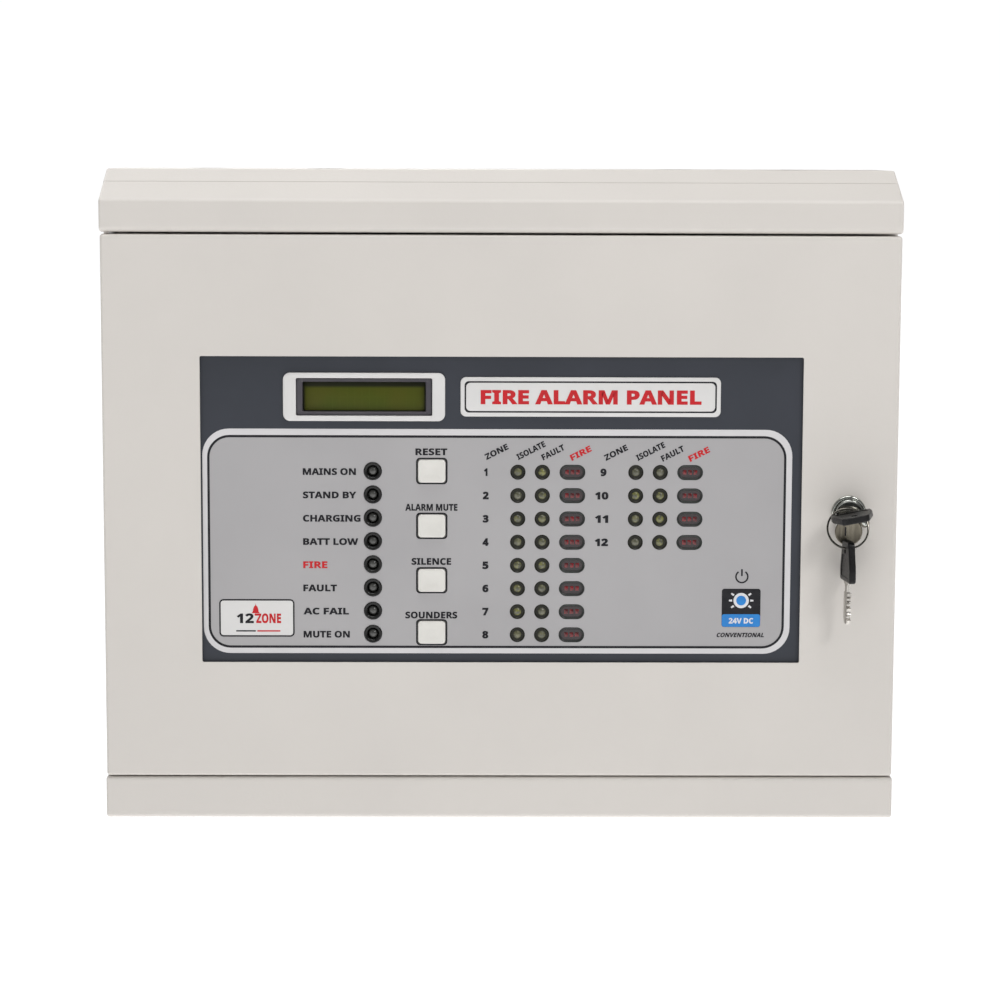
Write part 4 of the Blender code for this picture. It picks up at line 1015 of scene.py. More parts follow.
def makeFilm():
    s = fasciaSettings
    low, high, mid = spot("fascia_overlay")
    buttons = [roundLoop(s["buttonX"], z, 14.5, 12.2, 1.2, 4) for z in s["buttonZ"]]
    status = [circleLoop(s["statusX"], z + 0.4, s["statusR"], 32) for z in zoneRows(8)]
    surround = spot("lcd_surround")[2]
    window = [roundLoop(surround.x, surround.z, 68.2, 18.9, 0.6, 2)]
    holes = buttons + status + lampLoops()
    film = prism(roundLoop(mid.x, mid.z, s["filmWidth"], s["filmHeight"], 1), filmFront, high.y, "y",
            holes + window)
    add("fasciaFilm", film, "slateFilm", "door", "overlay", "fascia_overlay")
    layer = s["print"]
    grey = prism(spanLoop(*s["border"], 2.2), filmFront - layer, filmFront + 0.01, "y", holes)
    add("greyField", grey, "panelGrey", "door", "overlay")
    border = prism(spanLoop(*s["border"]), filmFront - layer * 1.5, filmFront + 0.01, "y",
            [spanLoop(*s["line"], -0.2)])
    add("paleBorder", border, "borderPale", "door", "overlay")
    rule = prism(spanLoop(*s["line"], -s["lineWidth"] / 2), filmFront - layer * 2, filmFront + 0.01, "y",
                 [spanLoop(*s["line"], s["lineWidth"] / 2)])
    frames = [prism(roundLoop(s["buttonX"], z, 15.8, 13.4, 2.0, 5), filmFront - layer * 2, filmFront + 0.01,
            "y", [roundLoop(s["buttonX"], z, 14.4, 12.1, 1.2, 5)]) for z in s["buttonZ"]]
    add("darkRules", together(rule, *frames), "inkDarkAndShade", "door", "overlay")


def makeLamps():
    s = fasciaSettings
    rim = turned([(s["lensR"] - 0.05, 0.5), (s["lensR"] - 0.05, 0.1), (3.5, -0.15), (3.0, 0.3), (2.75, 1.6),
            (2.75, 2.6), (3.7, 2.6)], 0, 0, 32)
    dome = turned([(0, -0.35), (0.9, -0.25), (1.7, 0.15), (2.2, 0.8), (2.4, 1.6), (2.5, 2.6), (0, 2.6)], 0,
            0, 28)
    rimItem, domeItem = makePiece("rimItem", rim, "lensRim"), makePiece("domeItem", dome, "lampLens", 50)
    rims, domes = [], []
    for first, second, wide, rows in s["blocks"]:
        start = (first, filmFront + 0.35, s["rowTop"])
        for made, item, finish in ((rims, rimItem, "lensRim"), (domes, domeItem, "lampLens")):
            made.append(copyGrid(item, start, 2, rows, (second - first, 0, 0), (0, 0, -s["pitch"]), finish))
    add("zoneLampRims", together(*rims), "lensRim", "door", "black_plastic")
    add("zoneLampLenses", together(*domes), "lampLens", "door", "display_glass", angle=50)
    # fire lamps: a dark rim, a smoked window and three small chips
    pill = lambda inset, y: standing(roundLoop(0, 0, s["pillWidth"] - 0.1 - 2 * inset,
            2 * s["lensR"] - 0.1 - 2 * inset, s["lensR"] - 0.06 - inset, 8), y)
    pillRim = makePiece("pillRimItem", loft([pill(0, 1.2), pill(0, 0.1), pill(0.35, -0.15), pill(1.0, 0.25),
            pill(1.2, 1.2)], True), "pillRim")
    window = makePiece("windowItem", loft([pill(1.15, 0.55), pill(1.15, 0.85), pill(1.15, 1.3)]),
            "pillWindow")
    chip = loft([standing(roundLoop(0, 0, w, h, 0.35, 3), y) for w, h, y in
                 ((1.7, 2.0, 0.30), (1.9, 2.3, 0.38), (2.0, 2.4, 0.6), (2.0, 2.4, 0.8))])
    chipItem = makePiece("chipItem", chip, "fireChip")
    sets = {"fireLampRims": (pillRim, "pillRim", "black_plastic"), "fireLampWindows": (window, "pillWindow",
            "black_plastic"), "fireLampChips": (chipItem, "fireChip", "display_glass")}
    for name, (item, finish, slot) in sets.items():
        made = []
        for first, second, wide, rows in s["blocks"]:
            across = 3 if name == "fireLampChips" else 1
            start = (wide - (across - 1) * 1.35, filmFront + 0.1, s["rowTop"])
            made.append(copyGrid(item, start, across, rows, (2.7, 0, 0), (0, 0, -s["pitch"]), finish))
        add(name, together(*made), finish, "door", slot)
    # status lamps sit in black bezels
    bezel = turned([(s["statusR"] - 0.35, 1.4), (s["statusR"] - 0.05, 0.6), (s["statusR"] - 0.05, -0.1),
            *arc(s["statusR"] - 0.6, -0.1, 0.55, 0, -90, 4), (3.4, -0.45), (2.9, 0.1), (2.7, 1.2),
            (2.7, 2.4), (3.9, 2.4), (3.9, 1.4)], 0, 0, 36)
    bezelItem = makePiece("bezelItem", bezel, "blackGloss", 50)
    lens = turned([(0, 0.1), (0.9, 0.2), (1.6, 0.5), (2.1, 1.0), (2.4, 1.8), (2.5, 2.6), (0, 2.6)], 0, 0, 28)
    lensItem = makePiece("statusLensItem", lens, "statusLens", 50)
    start = (s["statusX"], filmFront + 0.16, s["rowTop"] + 0.4)
    down = (0, 0, -s["pitch"])
    bezels = copyGrid(bezelItem, start, 1, 8, (1, 0, 0), down, "blackGloss")
    lenses = copyGrid(lensItem, start, 1, 8, (1, 0, 0), down, "statusLens")
    low, high, mid = spot("status_bezels")
    strip = prism(roundLoop(mid.x, mid.z, high.x - low.x, high.z - low.z, 2), high.y - 1.3, high.y, "y",
                  [circleLoop(s["statusX"], z + 0.4, 2.7, 28) for z in zoneRows(8)])
    add("statusBezels", together(bezels, strip), "blackGloss", "door", "black_plastic", "status_bezels",
            angle=50)
    add("statusLenses", lenses, "statusLens", "door", "display_glass", angle=50)
    for item in (rimItem, domeItem, pillRim, window, chipItem, bezelItem, lensItem):
        bpy.data.objects.remove(item)


buttonSettings = {"width": 13.8, "height": 11.6, "corner": 1.7, "edge": 0.7, "dish": 0.35}


def makeButtons():
    s = buttonSettings
    for name in ("reset", "alarm_mute", "silence", "sounders"):
        low, high, mid = spot(name + "_button")
        cap = lambda inset, y: standing(roundLoop(mid.x, mid.z, s["width"] - 2 * inset,
                s["height"] - 2 * inset, max(s["corner"] - inset * 0.5, 0.5), 6), y)
        e, front = s["edge"], low.y
        skirt = spot("fascia_plate")[0].y + 2.4
        loops = [cap(-1.3, skirt + 1.0), cap(-1.3, skirt), cap(0, skirt), cap(0, front + e)]
        loops += [cap(e * (1 - cos(a)), front + e * (1 - sin(a)))
                for a in (pi / 8, pi / 4, 3 * pi / 8, pi / 2)]
        loops += [cap(1.5, front + 0.02), cap(2.6, front + s["dish"] * 0.5),
                cap(3.8, front + s["dish"] * 0.9), cap(4.9, front + s["dish"])]
        stem = turned([(1.7, skirt + 0.8), (1.7, high.y - 0.4), (1.3, high.y), (0, high.y)], mid.x, mid.z, 20)
        piece = makePiece(name.replace("_", "") + "Cap", together(loft(loops), stem), "capWhite", 50)
        fit(piece, name + "_button", "button_cap", name + "_button")


displaySettings = {"width": 81.1, "height": 24.2, "corner": 3.5, "openWidth": 68.2, "openHeight": 18.9,
                   "glassWidth": 61.5, "glassHeight": 14.75}


def makeDisplay():
    s = displaySettings
    low, high, mid = spot("lcd_surround")
    around = lambda inset, y: standing(roundLoop(mid.x, mid.z, s["width"] - 2 * inset,
            s["height"] - 2 * inset, s["corner"] - inset, 8), y)
    inside = lambda inset, y: standing(roundLoop(mid.x, mid.z, s["openWidth"] - 2 * inset,
            s["openHeight"] - 2 * inset, 0.8, 8), y)
    surround = loft([around(0, filmFront), around(0, low.y + 0.4), around(0.12, low.y + 0.12),
            around(0.4, low.y), inside(-0.4, low.y), inside(-0.12, low.y + 0.12), inside(0, low.y + 0.4),
            inside(0, filmFront)], True)
    add("displaySurround", surround, "whitePlate", "door", "white_trim", "lcd_surround", angle=50)
    ring = lambda inset, corner, y: standing(roundLoop(mid.x, mid.z, s["openWidth"] - 2 * inset,
            s["openHeight"] - 2 * inset, corner, 6), y)
    glassLow, glassHigh, glass = spot("lcd_glass")
    window = lambda grow, y: standing(roundLoop(mid.x, mid.z, s["glassWidth"] + grow,
            s["glassHeight"] + grow, 0.5, 6), y)
    bezel = loft([ring(0.1, 0.8, glassHigh.y + 1), ring(0.1, 0.8, filmFront + 0.5),
            ring(0.4, 0.8, filmFront + 0.2), window(0.9, filmFront + 0.2), window(0.4, filmFront + 0.45),
            window(0, filmFront + 1.2), window(0, glassHigh.y + 1)], True)
    add("displayBezel", bezel, "lcdFrame", "door", "black_plastic", angle=40)
    glass = loft([standing(roundLoop(mid.x, mid.z, s["glassWidth"] - g, s["glassHeight"] - g, 0.4, 4), y)
                  for g, y in ((0.4, glassLow.y + 0.8), (0.4, glassLow.y + 0.12), (0.7, glassLow.y))])
    add("displayGlass", glass, "displayGreen", "door", "display_glass", "lcd_glass")


titleSettings = {"width": 130.4, "height": 19.8, "corner": 2.8, "lineInset": 2.4, "lineWidth": 0.8,
                 "words": "FIRE ALARM PANEL", "wordsWidth": 110.7, "capHeight": 7.2}


def makeTitle():
    s = titleSettings
    low, high, mid = spot("title_plate")
    edge = lambda inset, y: standing(roundLoop(mid.x, mid.z, s["width"] - 2 * inset,
            s["height"] - 2 * inset, s["corner"] - inset, 8), y)
    front = low.y
    plate = loft([edge(0, filmFront), edge(0, front + 0.25), edge(0.08, front + 0.08), edge(0.25, front)])
    add("titlePlate", plate, "whitePlate", "door", "white_trim", "title_plate", angle=50)
    frameLoops = [roundLoop(mid.x, mid.z, s["width"] - 2 * inset, s["height"] - 2 * inset,
            s["corner"] - 0.6, 8) for inset in (s["lineInset"] - s["lineWidth"] / 2,
            s["lineInset"] + s["lineWidth"] / 2)]
    line = prism(frameLoops[0], front - 0.02, front + 0.02, "y", [frameLoops[1]])
    add("titleLine", line, "inkDarkAndShade", "door", "white_trim")
    words = lettering(s["words"], s["capHeight"], s["wordsWidth"], mid.x + 0.2, mid.z - 0.1, front - 0.02,
            "CENTER", weight=0.018)
    add("titleWords", words, "inkRed", "door", "white_trim")


legendSettings = {
    "status": (("MAINS ON", 26.7), ("STAND BY", 26.9), ("CHARGING", 29.0), ("BATT LOW", 27.8), ("FIRE", 12.2),
               ("FAULT", 17.0), ("AC FAIL", 23.0), ("MUTE ON", 23.4)),
    "statusX": -99.5, "capHeight": 3.5,
    "buttons": (("RESET", 16.0, 23.4), ("ALARM MUTE", 26.3, -4.7), ("SILENCE", 20.0, -32.2),
                ("SOUNDERS", 26.3, -59.6)),
    "headers": (("ZONE", 12.6, -2.2, 23.5), ("ISOLATE", 15.6, 15.1, 24.2), ("FAULT", 12.4, 26.2, 23.3),
                ("FIRE", 11.4, 40.1, 22.9),
                ("ZONE", 12.6, 57.8, 23.2), ("ISOLATE", 15.6, 75.2, 23.9), ("FAULT", 12.4, 86.3, 22.8),
                ("FIRE", 11.4, 99.6, 22.5)),
    "headerTurn": 27, "headerHeight": 3.1, "numbers": ((-7.6, 1, 8), (51.6, 9, 12)), "numberHeight": 3.9}


def makeLegends():
    s = legendSettings
    front = filmFront - 0.06
    dark, red = [], []
    for (words, width), z in zip(s["status"], zoneRows(8)):
        made = lettering(words, s["capHeight"], width, s["statusX"], z + 0.1, front)
        (red if words == "FIRE" else dark).append(made)
    for words, width, z in s["buttons"]:
        dark.append(lettering(words, s["capHeight"], width, fasciaSettings["buttonX"] - 0.2, z, front,
                "CENTER"))
    for words, width, x, z in s["headers"]:
        made = lettering(words, s["headerHeight"], width, x, z, front, "CENTER", radians(s["headerTurn"]),
                0.03)
        (red if words == "FIRE" else dark).append(made)
    for x, first, last in s["numbers"]:
        for number, z in zip(range(first, last + 1), zoneRows(8)):
            width = 3.1 if number < 10 else 6.8
            if number == 1:
                width = 1.8
            place = x if number < 10 else x - 0.8
            dark.append(lettering(str(number), s["numberHeight"], width, place, z, front, "CENTER",
                    weight=0.03))
    add("darkLegends", together(*dark), "inkDarkAndShade", "door", "overlay")
    add("redLegends", together(*red), "inkRed", "door", "overlay")


emblemSettings = {"plate": (-142.0, -104.0, -70.8, -51.6), "badge": (112.0, 131.6, -65.45, -45.85),
                  "powerMark": (122.0, -39.7)}


def makeEmblems():
    # generic marks: a bell over the zone count, a lamp badge, and a power mark
    s = emblemSettings
    x0, x1, z0, z1 = s["plate"]
    front = filmFront - 0.06
    midX, midZ = (x0 + x1) / 2, (z0 + z1) / 2
    plate = prism(spanLoop(x0, x1, z0, z1, 2.2), front - 0.04, filmFront + 0.01)
    add("emblemPlate", plate, "whitePlate", "door", "overlay")
    rim = prism(spanLoop(x0, x1, z0, z1, 2.2), front - 0.06, filmFront + 0.01, "y",
            [spanLoop(x0, x1, z0, z1, 2.2, 0.75)])
    count = lettering("12", 5.0, 8.6, midX - 10.2, midZ - 0.2, front - 0.06)
    lineUnder = prism(boxLoop(midX - 10.5, midX - 0.6, z0 + 2.6, z0 + 3.3), front - 0.07, front)
    bellX, bellZ = midX - 0.6, z1 - 5.6
    bell = [(bellX + x, bellZ + z) for x, z in ((-2.1, -1.6), (-1.5, -0.8), (-1.2, 0.9), (-0.7, 2.0),
            (-0.2, 2.4), (0, 3.4), (0.2, 2.4), (0.7, 2.0), (1.2, 0.9), (1.5, -0.8), (2.1, -1.6))]
    zone = lettering("ZONE", 5.0, 12.6, midX - 0.4, midZ - 0.2, front - 0.06)
    redUnder = prism(boxLoop(midX + 0.2, midX + 11.8, z0 + 2.6, z0 + 3.3), front - 0.07, front)
    clapper = prism(circleLoop(bellX, bellZ - 2.3, 0.6, 16), front - 0.07, front)
    # badge
    bx0, bx1, bz0, bz1 = s["badge"]
    bx, split = (bx0 + bx1) / 2, bz0 + (bz1 - bz0) * 0.335
    badge = prism(spanLoop(bx0, bx1, bz0, bz1, 1.3), front - 0.03, filmFront + 0.01)
    band = prism(spanLoop(bx0 + 0.1, bx1 - 0.1, bz0 + 0.1, split, 1.2), front - 0.05, filmFront)
    disc = prism(circleLoop(bx, split + 7.0, 2.5, 32), front - 0.06, front)
    halo = prism(circleLoop(bx, split + 7.0, 3.9, 32), front - 0.05, front, "y",
            [circleLoop(bx, split + 7.0, 2.5, 32)])
    rays = [prism([(bx + x * cos(a) - y * sin(a), split + 7.0 + x * sin(a) + y * cos(a))
                   for x, y in ((4.6, -0.55), (6.2, -0.4), (6.2, 0.4), (4.6, 0.55))], front - 0.05, front)
            for a in (0, pi / 5, pi - pi / 5, pi, pi + pi / 5, -pi / 5)]
    volts = lettering("24V DC", 2.9, 12.4, bx, bz0 + 3.2, front - 0.06, "CENTER")
    caption = lettering("CONVENTIONAL", 2.3, 24.0, bx - 0.2, bz0 - 4.1, front, "CENTER", slant=0.25)
    markX, markZ = s["powerMark"]
    open_ = [(markX + 3.4 * cos(a), markZ + 3.4 * sin(a)) for a in [radians(125 + 290 * i / 30)
            for i in range(31)]]
    close = [(markX + 2.6 * cos(a), markZ + 2.6 * sin(a)) for a in [radians(415 - 290 * i / 30)
            for i in range(31)]]
    power = prism(open_ + close, front - 0.02, filmFront + 0.01)
    bar = prism(roundLoop(markX, markZ + 2.1, 0.85, 3.6, 0.3), front - 0.02, filmFront + 0.01)
    dark = together(rim, count, lineUnder, badge, caption, power, bar)
    add("darkMarks", dark, "inkDarkAndShade", "door", "overlay")
    add("redMarks", together(prism(bell, front - 0.07, front), zone, redUnder, clapper), "inkRed", "door",
            "overlay")
    add("blueMarks", together(band, disc), "inkBlue", "door", "overlay")
    add("whiteMarks", together(halo, volts, *rays), "inkWhite", "door", "overlay")


makeFilm()
makeLamps()
makeButtons()
makeDisplay()
makeTitle()
makeLegends()
makeEmblems()
print("fascia, lamps, display and legends are made")


# ---- lock and keys

lockSettings = {"tilt": 11, "waist": 3.8, "ringSide": 1.4, "flangeR": 8.8, "plugR": 6.9, "bladeWidth": 8.0,
                "bladeThick": 2.0, "bladeLength": 21.4, "bowWidth": 20.4, "bowEnd": 13.0, "bowLength": 20.5,
                "bowThick": 3.4, "bowStart": -108.5, "holeInset": 4.8, "holeR": 1.7, "ringR": 10.2,
                "ringWire": 0.5, "ringY": -105.3, "ringLean": 20.8, "spareYaw": 6, "coverR": 6.9,
                "coverPivot": (182.9, -11.4), "coverCentre": (174.8, -15.9), "coverBack": -103.2,
                "plugFront": -102.9, "bowEdge": 0.7}


def makeLock():
    s = lockSettings
    nutLow, nutHigh, nut = spot("lock_nut")
    x, z = nut.x, nut.z
    high = spot("lock_body")[1]
    doorFront = spot("door_panel")[0].y
    front = doorFront - 1.8
    r = s["flangeR"]
    threads = [(7.5 - 0.25 * (k % 2), -98.2 + 0.45 * k) for k in range(38)]
    body = turned([(5.9, high.y), (7.0, high.y), *reversed(threads), (7.5, doorFront),
            (r, doorFront - 0.02), (r, front + 0.9), *arc(r - 0.8, front + 0.8, 0.8, 0, -80, 5),
            (7.6, front), (7.3, front + 0.25), (7.05, front + 0.25), (7.0, front + 0.6),
            (5.9, front + 0.6)], x, z, 64)
    # the profile ends at the bore, so its two ends are joined
    bmesh.ops.delete(body, geom=[f for f in body.faces if len(f.verts) == 64], context="FACES_ONLY")
    edges = [e for e in body.edges if len(e.link_faces) == 1]
    bmesh.ops.bridge_loops(body, edges=edges)
    bmesh.ops.recalc_face_normals(body, faces=body.faces[:])
    pivot = s["coverPivot"]
    ear = turned([(0, -104.9), (0.9, -104.9), (1.5, -104.6), (1.5, -104.3), (0.9, -104.25), (0.9, front),
            (2.0, front - 0.05), (2.2, front + 0.2), (2.2, doorFront - 0.1), (0, doorFront - 0.1)], *pivot,
            28)
    add("lockBody", together(body, ear), "chromeLock", "door", "lock_chrome", "lock_body", angle=40)
    hexNut = loft([standing(circleLoop(x, z, rr, 6), y) for rr, y in
                   ((11.2, nutHigh.y), (12.4, nutHigh.y - 0.7), (12.4, nutLow.y + 0.7), (11.2, nutLow.y))])
    nutPiece = carve(makePiece("lockNut", hexNut, "zincSteel", 20), prism(circleLoop(x, z, 7.9, 48), -101,
            -94))
    fit(nutPiece, "door", "zinc_steel", "lock_nut")
    # plug with its keyway, turned with the key
    plugFront = s["plugFront"]
    plug = turned([(0, plugFront + 0.25), (4.6, plugFront + 0.2), (5.0, plugFront), *arc(s["plugR"] - 0.5,
            plugFront + 0.5, 0.5, -90, 0, 4), (s["plugR"], front - 0.15), (5.4, front - 0.1), (5.4, -79.2),
            (5.0, -78.9), (0, -78.9)], x, z, 64)
    lean = Matrix.Translation(Vector((x, doorFront, z)) * mm) @ Matrix.Rotation(-radians(s["tilt"]), 4, "Y") \
        @ Matrix.Translation(-Vector((x, doorFront, z)) * mm)
    keyway = block(x - 4.2, x + 4.2, plugFront - 1, -81.5, z - 1.2, z + 1.2)
    groove = block(x - 2.0, x - 0.8, plugFront - 1, -81.5, z - 1.7, z + 1.0)
    plugPiece = makePiece("lockPlug", plug, "chromeLock", 40)
    for cutter in (keyway, groove):
        bmesh.ops.transform(cutter, matrix=lean, verts=cutter.verts[:])
        carve(plugPiece, cutter)
    square = block(x - 3, x + 3, -79.5, -76, z - 3, z + 3)
    bmesh.ops.transform(square, matrix=lean, verts=square.verts[:])
    carve(plugPiece, square, operation="UNION")
    fit(evenShading(plugPiece, 40), "lock_core", "lock_chrome", "lock_plug")
    # the dust cover hangs beside the plug
    (cx, cz), cr, back = s["coverCentre"], s["coverR"], s["coverBack"]
    disc = turned([(0, back - 0.75), (cr - 1.3, back - 0.8), (cr - 0.9, back - 1.0), (cr - 0.3, back - 0.95),
                   (cr, back - 0.6), (cr, back - 0.2), (cr - 0.2, back), (0, back)], cx, cz, 56)
    coverPiece = makePiece("dustCover", disc, "coverBronze", 40)
    hub = turned([(0, back - 0.95), (2.1, back - 0.95), (2.3, back - 0.75), (2.3, back), (0, back)], *pivot,
            32)
    carve(coverPiece, hub, operation="UNION")
    carve(coverPiece, prism(circleLoop(*pivot, 1.15, 24), back - 2, back + 1),
          prism(roundLoop(cx - 1.6, cz + 0.2, 0.8, 4.6, 0.3), back - 2, back - 0.45))
    # a dark strip laid in the slot's groove is painted shade for the slot's depth
    slotShadeStrip = prism(roundLoop(cx - 1.6, cz + 0.2, 0.78, 4.58, 0.3, 3), back - 0.75, back - 0.4)
    add("coverSlot", slotShadeStrip, "inkDarkAndShade", "dust_cover", "cover_metal")
    fit(evenShading(coverPiece, 40), "dust_cover", "cover_metal", "dust_cover")


def keyBlade():
    # the blade lies along Y with its cuts on one edge; the bow meets it at the origin
    s = lockSettings
    half = s["bladeWidth"] / 2
    waist = s["waist"] / 2
    right = [(half, -7.0), (half, 1.4), (waist, 1.6), (waist, 5.3), (half, 5.5), (half, 7.0)]
    for i, depth in enumerate((1.6, 2.6, 1.2, 2.2)):
        y = 8.4 + 3 * i
        right += [(half - depth, y), (half - depth, y + 1), (half - 0.6, y + 2)]
    outline = right + [(half - 2.2, s["bladeLength"]), (-half + 2.2, s["bladeLength"]),
            (-half, s["bladeLength"] - 2.5), (-half, 5.5), (-waist, 5.3), (-waist, 1.6), (-half, 1.4),
            (-half, -7.0)]
    thick = s["bladeThick"] / 2
    blade = makePiece("blade", prism(outline, -thick, thick, "z"), "keyNickel")
    carve(blade, prism(boxLoop(-1.9, -0.7, 1.5, s["bladeLength"] + 1), thick - 0.55, thick + 1, "z"),
          prism(boxLoop(0.5, 1.5, 1.5, s["bladeLength"] + 1), -thick - 1, -thick + 0.5, "z"))
    return rounded(blade, 0.12, 2, 50)


def keyBow():
    s = lockSettings
    wide, narrow, length = s["bowWidth"] / 2, s["bowEnd"] / 2, s["bowLength"]
    points = [(wide, 0), (wide, -6.5), (narrow, -length), (-narrow, -length), (-wide, -6.5), (-wide, 0)]
    outline = filleted(points, (1.6, 5, 2.6, 2.6, 5, 1.6), 6)
    thick = s["bowThick"] / 2
    hole = circleLoop(0, -length + s["holeInset"], s["holeR"], 24)
    bow = makePiece("bow", prism(outline, -thick, thick, "z"), "bowBlack")
    rounded(bow, s["bowEdge"], 4, 50)
    carve(bow, prism(hole, -thick - 1, thick + 1, "z"))
    # shallow panels on both faces leave a raised frame, as moulded bows have
    panel = filleted([(wide - 2.2, -2.2), (wide - 2.2, -6.9), (narrow - 0.6, -length + 7.2),
            (-narrow + 0.6, -length + 7.2), (-wide + 2.2, -6.9), (-wide + 2.2, -2.2)], (1, 3, 1.6, 1.6, 3,
            1), 4)
    carve(bow, prism(panel, thick - 0.35, thick + 1, "z"), prism(panel, -thick - 1, -thick + 0.35, "z"))
    return bow


def placeCopy(name, master, matrix, body, slot, node, finish):
    copy = bpy.data.objects.new(name, master.data.copy())
    link(copy)
    copy.data.transform(matrix)
    copy.data.materials[0] = finishes[finish]
    shade(copy, 40)
    fit(evenShading(copy, 40), body, slot, node)


def makeKeys():
    s = lockSettings
    nut = spot("lock_nut")[2]
    blade, bow = keyBlade(), keyBow()
    tilt = Matrix.Rotation(-radians(s["tilt"]), 4, "Y")
    inLock = Matrix.Translation(Vector((nut.x, s["bowStart"], nut.z)) * mm) @ tilt
    placeCopy("keyBlade", blade, inLock, "key", "key_metal", "key_blade", "keyNickel")
    placeCopy("keyBow", bow, inLock, "key", "black_plastic", "key_bow", "bowBlack")
    # the ring hangs on the neck of the key; it is a split ring of two turns
    inner = s["ringR"] - s["ringWire"]
    tiltAngle = radians(s["tilt"])
    rest = nut.z + s["bladeThick"] / 2 * cos(tiltAngle) + s["waist"] / 2 * sin(tiltAngle) + 0.3
    drop = sqrt(inner ** 2 - (s["ringSide"] + s["waist"] / 2 * cos(tiltAngle)) ** 2)
    lean = Matrix.Rotation(-radians(s["ringLean"]), 4, "X")
    centre = Vector((nut.x - s["ringSide"], s["ringY"], rest + s["ringWire"])) + lean.to_3x3() @ Vector((0,
            0, -drop - s["ringWire"]))
    section = [(0.46, -0.14), (0.46, 0.14), (0.36, 0.22), (-0.36, 0.22), (-0.46, 0.14), (-0.46, -0.14),
            (-0.36, -0.22), (0.36, -0.22)]
    loops = []
    for k in range(181):
        a = radians(200) + radians(700) * k / 180
        side = 0.25 * max(-1, min(1, (k - 90) / 7))
        loops.append([((s["ringR"] + out) * cos(a), side + along, (s["ringR"] + out) * sin(a))
                for out, along in section])
    ring = makePiece("keyRing", loft(loops), "ringSteel", 50, Matrix.Translation(centre * mm) @ lean)
    fit(ring, "key_ring", "key_metal", "key_ring")
    bottom = centre + lean.to_3x3() @ Vector((0, 0, -s["ringR"]))
    upright = Matrix(((0, 0, 1, 0), (-1, 0, 0, 0), (0, -1, 0, 0), (0, 0, 0, 1)))
    hole = Vector((0, -s["bowLength"] + s["holeInset"], 0))
    sag = Vector((0, 0, -(s["holeR"] - s["ringWire"] - 0.3)))
    yaw = Matrix.Rotation(radians(s["spareYaw"]), 4, "Z")
    hanging = Matrix.Translation((bottom + sag) * mm) @ yaw @ upright @ Matrix.Translation(-hole * mm)
    placeCopy("spareBlade", blade, hanging, "spare_key", "key_metal", "spare_key_blade", "keyNickel")
    placeCopy("spareBow", bow, hanging, "spare_key", "black_plastic", "spare_key_bow", "bowBlack")
    bpy.data.objects.remove(blade)
    bpy.data.objects.remove(bow)


makeLock()
makeKeys()
print("lock and keys are made")


# ---- inside: boards, supply and batteries

insideSettings = {"face": -10.5, "thick": 1.6, "gap": 0.3, "screwInset": 6, "screwHole": 1.7,
                  "screwHead": 2.6, "mainBoard": (-22, 186, -48, 118), "powerBoard": (-112, -34, 18, 118)}
boardFace = insideSettings["face"] - insideSettings["thick"]
partPlane = boardFace - insideSettings["gap"]


def copiesOf(bm, finish, first, across, up, stepAcross, stepUp, angle=40):
    item = makePiece("item", bm, finish, angle)
    made = copyGrid(item, first, across, up, stepAcross, stepUp, finish)
    bpy.data.objects.remove(item)
    return made


def panHead(cx, cz, r, back, front):
    # a screw head with a cross slot
    profile = [(0, back), (r, back), (r, front + r * 0.35), (r * 0.8, front + r * 0.12), (r * 0.4, front),
            (0, front)]
    head = makePiece("head", turned(profile, cx, cz, 24), "zincSteel")
    long, short = r * 0.62, r * 0.13
    for across, up in ((long, short), (short, long)):
        carve(head, block(cx - across, cx + across, front - 1, front + r * 0.3, cz - up, cz + up))
    bm = bmesh.new()
    bm.from_mesh(head.data)
    bpy.data.objects.remove(head)
    return bm


def steppedBlock(cx, cz, width, height, r, steps, levels):
    # a rounded block built from (inset, place) levels along Y
    return loft([standing(roundLoop(cx, cz, width - inset, height - inset, r, steps), y)
            for inset, y in levels])


def chipBody(width, length, height):
    return steppedBlock(0, 0, width, length, 0.3, 2, ((0.5, -0.5), (0, -height / 2), (0.7, -height),
            (1.0, -height - 0.02)))


def chipLegs(width, count, pitch):
    # two rows of bent legs beside a chip body
    half = width / 2
    rows = []
    for side in (-1, 1):
        leg = [(side * (half + out), y) for out, y in ((-0.3, -1.6), (0.9, -1.6), (1.1, 0.25), (0.75, 0.25),
                (0.6, -1.2), (-0.3, -1.2))]
        rows.append(prism(leg if side > 0 else leg[::-1], -0.25, 0.25, "z"))
    return copiesOf(together(*rows), "solderTin", (0, 0, -(count - 1) * pitch / 2), 1, count, (1, 0, 0),
            (0, 0, pitch))


def boardCorners(span):
    x0, x1, z0, z1 = span
    inset = insideSettings["screwInset"]
    return [(x, z) for x in (x0 + inset, x1 - inset) for z in (z0 + inset, z1 - inset)]


def makeBoard(name, span, node):
    holes = [circleLoop(x, z, insideSettings["screwHole"], 20) for x, z in boardCorners(span)]
    board = prism(spanLoop(*span, 3), boardFace, insideSettings["face"], "y", holes)
    add(name, board, "boardGreen", "enclosure", "circuit_board", node)


mainBoardSettings = {"chipFirst": (18, 80), "chipStep": (25, -28), "chipGrid": (5, 2),
                     "chip": (6.4, 19.5, 3.4), "legs": (8, 2.3), "controller": (62, 22),
                     "controllerSize": (15, 2.2), "pins": (16, 0.9, 16.6), "header": (-11.5, -28, 17, 8.6),
                     "resistors": (6, 97.5, 12, 13), "cans": (96, 4, 4, 2, 11, 14),
                     "relays": (8, -29.5, 26)}


